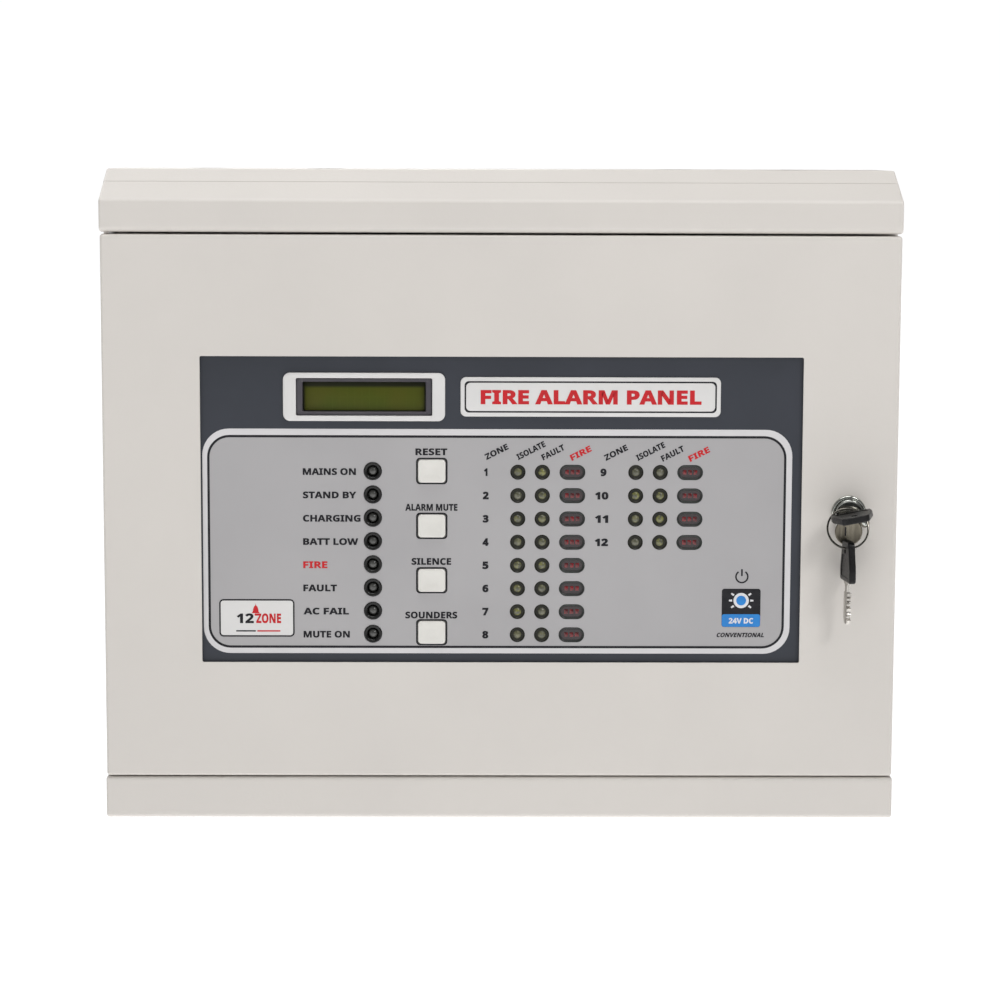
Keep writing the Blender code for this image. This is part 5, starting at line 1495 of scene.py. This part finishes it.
def makeMainBoard():
    s, inside = mainBoardSettings, insideSettings
    face = boardFace
    makeBoard("controlBoard", inside["mainBoard"], "main_board")
    corners = boardCorners(inside["mainBoard"]) + boardCorners(inside["powerBoard"])
    heads = [panHead(x, z, inside["screwHead"], face, face - 1.8) for x, z in corners]
    add("boardScrews", together(*heads), "zincSteel", "enclosure", "zinc_steel", angle=40)
    (firstX, firstZ), (stepX, stepZ), (across, up) = s["chipFirst"], s["chipStep"], s["chipGrid"]
    grid = ((firstX, face, firstZ), across, up, (stepX, 0, 0), (0, 0, stepZ))
    bodies = [copiesOf(chipBody(*s["chip"]), "chipBlack", *grid)]
    legs = [copiesOf(chipLegs(s["chip"][0], *s["legs"]), "solderTin", *grid)]
    # the square controller has a row of pins along two sides
    (cx, cz), (size, height), (count, pitch, apart) = s["controller"], s["controllerSize"], s["pins"]
    bodies.append(moved(chipBody(size, size, height), (cx, face, cz)))
    pin = loft([standing(roundLoop(0, 0, 0.35, 1.6, 0.1, 1), y) for y in (-0.6, 0)])
    first = (cx - (count - 1) * pitch / 2, face, cz - apart / 2)
    legs.append(copiesOf(pin, "solderTin", first, count, 2, (pitch, 0, 0), (0, 0, apart)))
    hx, hz, width, tall = s["header"]
    bodies.append(steppedBlock(hx, hz, width, tall, 0.6, 2, ((0, face), (0, face - 8.2), (0.5, face - 8.6))))
    add("boardChips", together(*bodies), "chipBlack", "enclosure", "black_plastic", angle=40)
    add("chipLegs", together(*legs), "solderTin", "enclosure", "zinc_steel", angle=40)
    half = [(0, 4), (0.9, 4), (1.25, 3.6), (1.25, 2.4), (1.0, 2)]
    profile = [(r, -at) for r, at in half] + half[::-1]
    rx, rz, count, pitch = s["resistors"]
    resistors = copiesOf(turned(profile, -1.5, 0, 16, "x"), "resistorTan", (rx, face, rz), count, 1,
            (pitch, 0, 0), (0, 0, 1))
    add("boardResistors", resistors, "resistorTan", "enclosure", "circuit_board", angle=50)
    can = turned([(0, 0), (3.1, 0), (3.1, -0.8), (2.85, -1.2), (3.1, -1.6), (3.1, -8.6), (2.7, -9),
            (0, -9)], 0, 0, 28)
    x, z, across, up, stepX, stepZ = s["cans"]
    cans = copiesOf(can, "leadBlue", (x, face, z), across, up, (stepX, 0, 0), (0, 0, stepZ))
    add("boardCapacitors", cans, "leadBlue", "enclosure", "blue_lead", angle=50)
    relay = steppedBlock(0, 0, 19, 15, 0.8, 3, ((0.6, 0), (0.6, -0.8), (0, -0.9), (0, -13.6), (0.6, -13.9)))
    x, z, stepX = s["relays"]
    relays = copiesOf(relay, "relayBlue", (x, face, z), 2, 1, (stepX, 0, 0), (0, 0, 1))
    add("relays", relays, "relayBlue", "enclosure", "circuit_board", angle=40)


# piece, node, ways and pitch of each strip
terminalStrips = (("zoneTerminals", "zone_terminals", 16, 11.25),
                  ("sounderTerminals", "sounder_terminals", 9, 11.25),
                  ("mainsTerminals", "mains_terminals", 5, 10.0))


def makeTerminals():
    # one moulded way copied along each strip, with a slotted screw on its sloping face
    for name, node, count, pitch in terminalStrips:
        low, high, mid = spot(node)
        depth = high.y - low.y
        section = filleted([(high.y, low.z), (high.y, high.z), (low.y + depth * 0.45, high.z),
                (low.y, high.z - 4), (low.y, low.z)], (0, 0.6, 0.8, 0.8, 0.6), 3)
        way = makePiece("way", prism(section, -pitch / 2 + 0.12, pitch / 2 - 0.12, "x"), "terminalGreen")
        screwZ = mid.z - 1.2
        carve(way, block(-1.9, 1.9, low.y + depth * 0.5, high.y - 2, high.z - 3, high.z + 1))
        carve(way, prism(circleLoop(0, screwZ, 2.2, 24), low.y - 1, low.y + depth * 0.4))
        places = ((low.x + pitch / 2, 0, 0), count, 1, (pitch, 0, 0), (0, 0, 1))
        bar = copyGrid(way, *places, "terminalGreen")
        bpy.data.objects.remove(way)
        spine = block(low.x, low.x + count * pitch, high.y - 2.4, high.y - 0.1, low.z + 0.4, high.z - 3.4)
        add(name, together(bar, spine), "terminalGreen", "enclosure", "terminal_green", node)
        head = panHead(0, screwZ, 1.9, low.y + depth * 0.4, low.y + 0.8)
        screws = copiesOf(head, "zincSteel", *places)
        add(name + "Screws", screws, "zincSteel", "enclosure", "zinc_steel", angle=40)


powerSettings = {"can": (-52, 40, 11, 34.7), "buzzer": (160, 20), "fuseBase": (-108, -84, 30, 39),
                 "fuseZ": 34.5, "fuseUp": 9, "capStarts": (-104, -92.5), "sink": (-102, -51, 56, 92),
                 "fin": 3, "finPitch": 8, "web": 4, "sinkDepth": 22, "devices": (-92, -74), "deviceZ": 50,
                 "diodes": (-100, 24)}


def makePowerBoard():
    s, plane = powerSettings, partPlane
    makeBoard("powerBoard", insideSettings["powerBoard"], "power_board")
    cx, cz, r, tall = s["can"]
    profile = [(0, 0), (r, 0), (r, 1.6), (r - 0.4, 2.4), (r, 3.2), (r, tall - 1.3), (r - 0.5, tall - 0.3),
            (r - 1.4, tall + 0.2), (r - 2, tall), (0, tall)]
    can = turned([(radius, plane - up) for radius, up in profile], cx, cz, 48)
    add("reservoirCapacitor", can, "leadBlue", "enclosure", "blue_lead", "smoothing_capacitor", angle=40)
    profile = [(0, 7), (2.2, 7), (2.2, 10.7), (2.8, 11), (12.2, 11), (13.4, 10.4), (14, 9.2), (14, 0), (0, 0)]
    buzzer = turned([(radius, plane - up) for radius, up in profile], *s["buzzer"], 56)
    add("buzzer", buzzer, "chipBlack", "enclosure", "black_plastic", "alarm_buzzer", angle=40)
    x0, x1, z0, z1 = s["fuseBase"]
    base = rounded(makePiece("fuseBase", block(x0, x1, plane - 4, plane, z0, z1), "chipBlack"), 0.5, 3)
    fit(base, "enclosure", "black_plastic", "fuse_holder")
    along = lambda profile: turned(profile, plane - s["fuseUp"], s["fuseZ"], 28, "x")
    glass = along([(0, -103.5), (2.5, -103.5), (2.5, -88.5), (0, -88.5)])
    caps = [along([(0, a), (2.9, a), (3, a + 0.3), (3, a + 4.2), (2.9, a + 4.5), (0, a + 4.5)])
            for a in s["capStarts"]]
    clips = [block(a + 0.6, a + 3.9, plane - 10.6, plane - 3.6, z, z + 0.5) for a in s["capStarts"]
            for z in (31.0, 37.5)]
    add("fuseGlass", glass, "fuseGlass", "enclosure", "display_glass", angle=50)
    add("fuseClips", together(*caps, *clips), "zincSteel", "enclosure", "zinc_steel", angle=50)
    x0, x1, z0, z1 = s["sink"]
    tip = plane - s["sinkDepth"]
    comb = [(x0, plane), (x0, tip)]
    for i in range(int((x1 - x0) / s["finPitch"])):
        x = x0 + s["finPitch"] * i
        comb += [(x + s["fin"], tip), (x + s["fin"], plane - s["web"]), (x + s["finPitch"], plane - s["web"]),
                 (x + s["finPitch"], tip)]
    comb += [(x1, tip), (x1, plane)]
    sink = rounded(makePiece("heatSink", prism(comb, z0, z1, "z"), "finAluminium"), 0.5, 2, 50)
    fit(sink, "enclosure", "heat_sink", "heat_sink")
    devices = [steppedBlock(x, s["deviceZ"], 10.2, 15, 0.4, 2, ((0, plane), (0, plane - 4),
            (0.4, plane - 4.4))) for x in s["devices"]]
    x, z = s["diodes"]
    diode = turned([(0, -2.6), (1.4, -2.6), (1.4, 2.6), (0, 2.6)], 0, 0, 20, "x")
    devices.append(copiesOf(diode, "chipBlack", (x, boardFace - 1.5, z), 2, 1, (12, 0, 0), (0, 0, 6)))
    add("powerDevices", together(*devices), "chipBlack", "enclosure", "black_plastic", angle=40)


transformerSettings = {"cx": -157.0, "half": 33, "span": (44.0, 99.0), "back": -14.0, "front": -46.0,
                       "windowX": 16.5, "windowHalf": 5.5, "yoke": 11, "fixingX": (28, 30),
                       "windingWidth": 43.2, "windingOut": 19, "flange": 1.4}


def makeTransformer():
    s = transformerSettings
    cx, (z0, z1), back, front, half = s["cx"], s["span"], s["back"], s["front"], s["half"]
    windows = [boxLoop(cx + side * s["windowX"] - s["windowHalf"], cx + side * s["windowX"] + s["windowHalf"],
                       z0 + s["yoke"], z1 - s["yoke"]) for side in (-1, 1)]
    core = makePiece("transformerCore", prism(boxLoop(cx - half, cx + half, z0, z1), front, back, "y",
            windows), "coreIron")
    # open seams between packs of laminations
    outside = boxLoop(cx - half - 1, cx + half + 1, z0 - 1, z1 + 1)
    inside = boxLoop(cx - half + 0.4, cx + half - 0.4, z0 + 0.4, z1 - 0.4)
    carve(core, *[prism(outside, front + 4 * k - 0.12, front + 4 * k + 0.12, "y", [inside])
            for k in range(1, 8)])
    rivetX, footX = s["fixingX"]
    rivets = [turned([(0, front - 1.4), (1.8, front - 1.2), (2.7, front - 0.4), (2.7, front + 1)],
            cx + side * rivetX, z, 24) for side in (-1, 1) for z in (z0 + 5.5, z1 - 5.5)]
    feet = [block(cx + side * footX - 2.5, cx + side * footX + 2.5, back - 0.5, -1.5, z, z + 8)
            for side in (-1, 1) for z in (z0, z1 - 8)]
    fit(core, "enclosure", "core_iron", "transformer_core")
    add("transformerFixings", together(*rivets, *feet), "zincSteel", "enclosure", "zinc_steel", angle=40)
    middle, stack = (front + back) / 2, back - front
    level = lambda width, deep, r, z: [(x, y, z) for x, y in roundLoop(cx, middle, width, deep, r, 6)]
    ring = lambda grow, z: level(s["windingWidth"] + grow, stack + s["windingOut"] + grow, 5, z)
    hole = lambda z: level(2 * (s["windowX"] - s["windowHalf"]) + 0.8, stack + 0.8, 0.5, z)
    low, high = z0 + s["yoke"] + 0.4, z1 - s["yoke"] - 0.4
    tape = loft([hole(low + 1.5), ring(-2, low + 1.5), ring(-1.4, low + 3), ring(-0.8, (low + high) / 2),
            ring(-1.4, high - 3), ring(-2, high - 1.5), hole(high - 1.5)], True)
    add("windingTape", tape, "windingTape", "enclosure", "winding", "transformer_winding", angle=50)
    flanges = [loft([hole(z), ring(0, z), ring(0, z + s["flange"]), hole(z + s["flange"])], True)
               for z in (low, high - s["flange"])]
    add("bobbinFlanges", together(*flanges), "chipBlack", "enclosure", "black_plastic")


batterySettings = {"tabUp": 6, "tabInset": 10, "tabBack": 12, "labelUp": 8, "label": (70, 24),
                   "rating": (9, 24), "lidDown": 9, "corner": 3, "clampInner": 154.1, "clampOuter": 155.6,
                   "ear": 10.5, "clampScrewX": 161}


def makeBatteries():
    s = batterySettings
    for name, node in (("batteryLeft", "battery_left"), ("batteryRight", "battery_right")):
        low, high, mid = spot(node)
        top = high.z - s["tabUp"]
        lid = top - s["lidDown"]
        outline = lambda inset, z: [(x, y, z) for x, y in roundLoop(mid.x, mid.y,
                high.x - low.x - 2 * inset, high.y - low.y - 2 * inset, max(s["corner"] - inset, 0.5), 5)]
        levels = ((0.8, low.z), (0, low.z + 0.8), (0, lid - 0.2), (0.7, lid), (0.7, lid + 0.6),
                (0, lid + 0.8), (0, top - 1), (0.9, top - 0.1), (5, top - 0.1), (5.6, top - 1.2))
        case = makePiece(name, loft([outline(inset, z) for inset, z in levels]), "batteryGrey", 40)
        tabs = (low.x + s["tabInset"], high.x - s["tabInset"])
        tabY = high.y - s["tabBack"]
        carve(case, *[prism(roundLoop(x, tabY, 14, 13, 1.5, 3), top - 5, top + 1, "z") for x in tabs])
        carve(case, prism(roundLoop(mid.x, low.y, 1.6, 200, 0.4, 2), low.y - 1, low.y - 0.5))
        fit(case, "enclosure", "battery_case", node)
        blades = [prism([(x - 3, top - 4.9), (x + 3, top - 4.9), (x + 3, high.z - 1), (x + 2, high.z),
                (x - 2, high.z), (x - 3, high.z - 1)], tabY - 0.4, tabY + 0.4, "y",
                [circleLoop(x, high.z - 2.6, 0.8, 16)]) for x in tabs]
        add(name + "Tabs", together(*blades), "zincSteel", "enclosure", "zinc_steel")
        labelZ = mid.z + s["labelUp"]
        label = prism(roundLoop(mid.x, labelZ, *s["label"], 2, 4), low.y - 0.05, low.y + 0.05)
        add(name + "Label", label, "whitePlate", "enclosure", "white_trim")
        rating = lettering("12 V", *s["rating"], mid.x, labelZ, low.y - 0.06, "CENTER")
        for v in rating.verts:
            v.co.y = max(v.co.y, (low.y - 0.1) * mm)
        add(name + "Rating", rating, "inkDarkAndShade", "enclosure", "white_trim")


def makeClamp():
    s = batterySettings
    low, high, mid = spot("battery_clamp")
    inner, outer, back, front = s["clampInner"], s["clampOuter"], high.y, low.y
    ear = outer + s["ear"]
    outside = [(-ear, back), (-ear, back - 1.5), (-outer, back - 1.5), (-outer, front), (outer, front),
            (outer, back - 1.5), (ear, back - 1.5), (ear, back)]
    inside = [(inner, back), (inner, front + 1.5), (-inner, front + 1.5), (-inner, back)]
    strap = filleted(outside + inside, (0, 0, 1, 2, 2, 1, 0, 0, 0, 0.6, 0.6, 0), 4)
    clamp = makePiece("batteryClamp", prism(strap, low.z, high.z, "z"), "zincSteel")
    fit(rounded(clamp, 0.3, 2, 50), "enclosure", "zinc_steel", "battery_clamp")
    screws = [panHead(side * s["clampScrewX"], mid.z, 3.4, back - 1.5, back - 4.2) for side in (-1, 1)]
    add("clampScrews", together(*screws), "zincSteel", "enclosure", "zinc_steel", angle=40)


leadSettings = {"radius": 1.3, "cover": (8.4, 4.0, 1.2), "plug": (7, 9, 1)}
leadRoutes = {
    "battery_link_lead": ("leadBlue", "blue_lead", [
        (-12.5, -13.5, -61.9), (-12.5, -13.5, -58.9), (-8, -14.5, -56.4), (8, -14.5, -56.4),
        (12.5, -13.5, -58.9),
        (12.5, -13.5, -61.9)]),
    "battery_lead_black": ("leadBlack", "black_lead", [
        (-143.5, -13.5, -61.9), (-143.5, -13.5, -51.9), (-139.5, -19.5, -20), (-129.5, -24.4, 4),
        (-118, -20.4, 14),
        (-106, -16.4, 24)]),
    "battery_lead_red": ("leadRed", "red_lead", [
        (143.5, -13.5, -61.9), (143.5, -13.5, -58.9), (140, -18.5, -55.9), (120, -33.5, -52),
        (60, -35.5, -53.5),
        (-8, -35.5, -53.5), (-28, -33.5, -44), (-44, -29.5, -10), (-60, -20.4, 12), (-74, -16.4, 24)])}


def makeLeads():
    s = leadSettings
    for node, (finish, slot, points) in leadRoutes.items():
        name = node.replace("_", "-")
        fit(tubeAlong(name, points, s["radius"], finish), "enclosure", slot, node)
        # insulated spade covers on the ends that stand on battery tabs
        isLink = node == "battery_link_lead"
        covers = []
        width, deep, r = s["cover"]
        for x, y, z in ([points[0], points[-1]] if isLink else points[:1]):
            level = lambda inset, up: [(px, py, z + up) for px, py in roundLoop(x, y, width - inset,
                    deep - inset, r, 4)]
            covers.append(loft([level(0.4, -6.2), level(0, -5.8), level(0, 1.5), level(1.2, 3.0),
                    level(2.0, 3.2)]))
        add(name + "Covers", together(*covers), finish, "enclosure", slot, angle=50)
        if not isLink:
            x, y, z = points[-1]
            levels = ((0.5, partPlane), (0, partPlane - 0.4), (0, y - 2.6), (0.8, y - 3.2))
            width, tall, r = s["plug"]
            plug = steppedBlock(x, z - 1, width, tall, r, 3, levels)
            add(name + "Plug", plug, "whitePlate", "enclosure", "white_trim", angle=50)


harnessSettings = {"radius": 2.6, "start": (-175, -50, -36), "end": (-175, -82, -38), "plug": (8, 10),
                   "route": [(-26, -20, -28), (-60, -22, -34), (-100, -27, -36), (-140, -36, -36),
                   (-168, -48, -35), (-180.5, -62, -35), (-181.5, -74, -36), (-176, -81.5, -38),
                   (-160, -83.5, -40), (-138, -83.5, -40), (-112, -83.5, -40), (-92, -83.5, -40),
                   (-82, -83.5, -40)]}


def makeHarness():
    # the sleeved bundle from the control board to the display board
    s = harnessSettings
    harness = tubeAlong("doorHarness", s["route"], s["radius"], "leadBlack")
    x, y, z = s["route"][0]
    deep, tall = s["plug"]
    shell = lambda inset, at: [(at, py, pz) for py, pz in roundLoop(y - 0.3, z, deep - inset, tall - inset,
            1, 3)]
    plug = loft([shell(3, x - 5), shell(0.4, x - 3), shell(0, x - 2.6), shell(0, x + 7.6), shell(0.6, x + 8)])
    add("harnessPlug", plug, "chipBlack", "enclosure", "black_plastic", angle=40)
    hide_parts("door_harness")
    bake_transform(harness)


displayBoardSettings = {"span": (-81, 119, -84, 28), "front": -88.6, "back": -87.0, "postX": (-76.0, 114.0),
                        "postZ": (24.0, -80.0), "solder": (1.27, 3.8), "chipFirst": (-18, -2),
                        "chipStep": -24, "plug": (-79, -40, 8, 24), "moduleFront": -90.4,
                        "shell": (71.2, 25), "drops": (-18, 10)}


def makeDisplayBoard():
    s, f = displayBoardSettings, fasciaSettings
    front, back = s["front"], s["back"]
    holes = [(x, z) for x in s["postX"] for z in s["postZ"]]
    board = prism(spanLoop(*s["span"], 2), front, back, "y", [circleLoop(x, z, 1.7, 20) for x, z in holes])
    add("displayBoard", board, "boardGreen", "door", "circuit_board", "display_board")
    near, far = s["solder"]
    drop = [(0, back), (1.0, back), (0.55, back + 0.3), (0.3, back + 0.8), (0, back + 0.9)]
    rows = [(x + side * near, f["rowTop"], count) for first, second, wide, count in f["blocks"]
            for x in (first, second, wide) for side in (-1, 1)]
    rows += [(wide + side * far, f["rowTop"], count) for first, second, wide, count in f["blocks"]
            for side in (-1, 1)]
    rows += [(f["statusX"] + side * near, f["rowTop"] + 0.4, 8) for side in (-1, 1)]
    solder = [copiesOf(turned(drop, 0, 0, 12), "solderTin", (x, 0, z), 1, count, (1, 0, 0),
            (0, 0, -f["pitch"]), 60) for x, z, count in rows]
    add("solderJoints", together(*solder), "solderTin", "door", "zinc_steel", angle=60)
    x, z = s["chipFirst"]
    chips = copiesOf(backChip(), "chipBlack", (x, back, z), 1, 3, (1, 0, 0), (0, 0, s["chipStep"]))
    plugX, plugZ, wide, tall = s["plug"]
    plug = steppedBlock(plugX, plugZ, wide, tall, 0.8, 3, ((0, back), (0, back + 3.4), (0.6, back + 3.9)))
    add("displayChips", together(chips, plug), "chipBlack", "door", "black_plastic", angle=40)
    head = [(0, back), (2.6, back), (2.6, back + 1.2), (1.6, back + 1.9), (0, back + 1.9)]
    heads = [turned(head, x, z, 24) for x, z in holes]
    add("displayScrews", together(*heads), "zincSteel", "door", "zinc_steel", angle=40)


def makeModule():
    # the display module has its own small board and a black frame in front
    s, window = displayBoardSettings, displaySettings
    low, high, mid = spot("lcd_module")
    module = prism(roundLoop(mid.x, mid.z, high.x - low.x, high.z - low.z, 1.5, 3), s["moduleFront"], high.y)
    add("moduleBoard", module, "boardGreen", "door", "circuit_board", "lcd_module")
    opening = roundLoop(mid.x, mid.z, window["glassWidth"] + 0.6, window["glassHeight"] + 0.6, 0.5, 3)
    shell = prism(roundLoop(mid.x, mid.z, *s["shell"], 1, 3), low.y + 0.3, s["moduleFront"], "y", [opening])
    profile = [(0, high.y + 1.2), (3.5, high.y + 1.0), (6.2, high.y + 0.3), (6.8, high.y)]
    drops = [turned(profile, mid.x + along, mid.z, 32) for along in s["drops"]]
    add("moduleShell", together(shell, *drops), "chipBlack", "door", "black_plastic", angle=50)


def backChip():
    bm = chipBody(19.5, 6.4, 3.0)
    bmesh.ops.transform(bm, matrix=Matrix.Scale(-1, 4, (0, 1, 0)), verts=bm.verts[:])
    bmesh.ops.recalc_face_normals(bm, faces=bm.faces[:])
    return bm


plateSettings = {"thick": 2, "button": (14.6, 12.4), "window": (34.1, 9.45), "studHole": 1.9,
                 "modulePosts": (37.5, 15.5), "boardPostTip": -88.9, "modulePostTip": -90.7}


def makePlate():
    # the steel plate behind the printed film, with its threaded posts
    s, f, d, board = plateSettings, fasciaSettings, doorSettings, displayBoardSettings
    low, high, mid = spot("fascia_plate")
    back = low.y + s["thick"]
    slots = [roundLoop(f["statusX"], f["rowTop"] + 0.4 - 3.5 * f["pitch"], 2 * f["statusR"],
                       7 * f["pitch"] + 2 * f["statusR"], 2, 5)]
    for first, second, wide, rows in f["blocks"]:
        middle = f["rowTop"] - (rows - 1) * f["pitch"] / 2
        tall = (rows - 1) * f["pitch"] + 2 * f["lensR"]
        slots += [roundLoop(x, middle, 2 * f["lensR"], tall, 2, 5) for x in (first, second)]
        slots.append(roundLoop(wide, middle, f["pillWidth"], tall, 2, 5))
    slots += [roundLoop(f["buttonX"], z, *s["button"], 1, 4) for z in f["buttonZ"]]
    surround = spot("lcd_surround")[2]
    halfWide, halfTall = s["window"]
    slots.append(boxLoop(surround.x - halfWide, surround.x + halfWide, surround.z - halfTall,
            surround.z + halfTall))
    signs = [(across, up) for across in (-1, 1) for up in (-1, 1)]
    studs = [circleLoop(d["cutX"] + across * d["studX"], d["cutZ"] + up * d["studZ"], s["studHole"], 20)
            for across, up in signs]
    plate = prism(roundLoop(mid.x, mid.z, high.x - low.x, high.z - low.z, 2, 5), low.y, back, "y",
            slots + studs)
    post = lambda r, tip: [(r + 0.4, back - 0.4), (r + 0.4, back + 0.3), (r, back + 0.6), (r, tip)]
    posts = [turned(post(2.4, s["boardPostTip"]), x, z, 24) for x in board["postX"] for z in board["postZ"]]
    postX, postZ = s["modulePosts"]
    posts += [turned(post(2.0, s["modulePostTip"]), surround.x + across * postX, surround.z + up * postZ, 20)
              for across, up in signs]
    add("fasciaPlate", together(plate, *posts), "zincSteel", "door", "fascia_steel", "fascia_plate", angle=40)


makeMainBoard()
makeTerminals()
makePowerBoard()
makeTransformer()
makeBatteries()
makeClamp()
makeLeads()
makeHarness()
makeDisplayBoard()
makeModule()
makePlate()
print("inside is made")


# ---- frame nodes that keep their shape

plainFinishes = {
    "hinge_pin_upper": "zincSteel", "hinge_pin_lower": "zincSteel", "fascia_gasket": "rubberBlack",
    "lock_cam": "zincSteel",
    "cam_screw": "zincSteel", "reset_switch": "chipBlack", "alarm_mute_switch": "chipBlack",
    "silence_switch": "chipBlack",
    "sounders_switch": "chipBlack"}

for name, finish in plainFinishes.items():
    node = nodes[name]
    if not node.hide_render:
        for slot in node.material_slots:
            slot.material = finishes[finish]
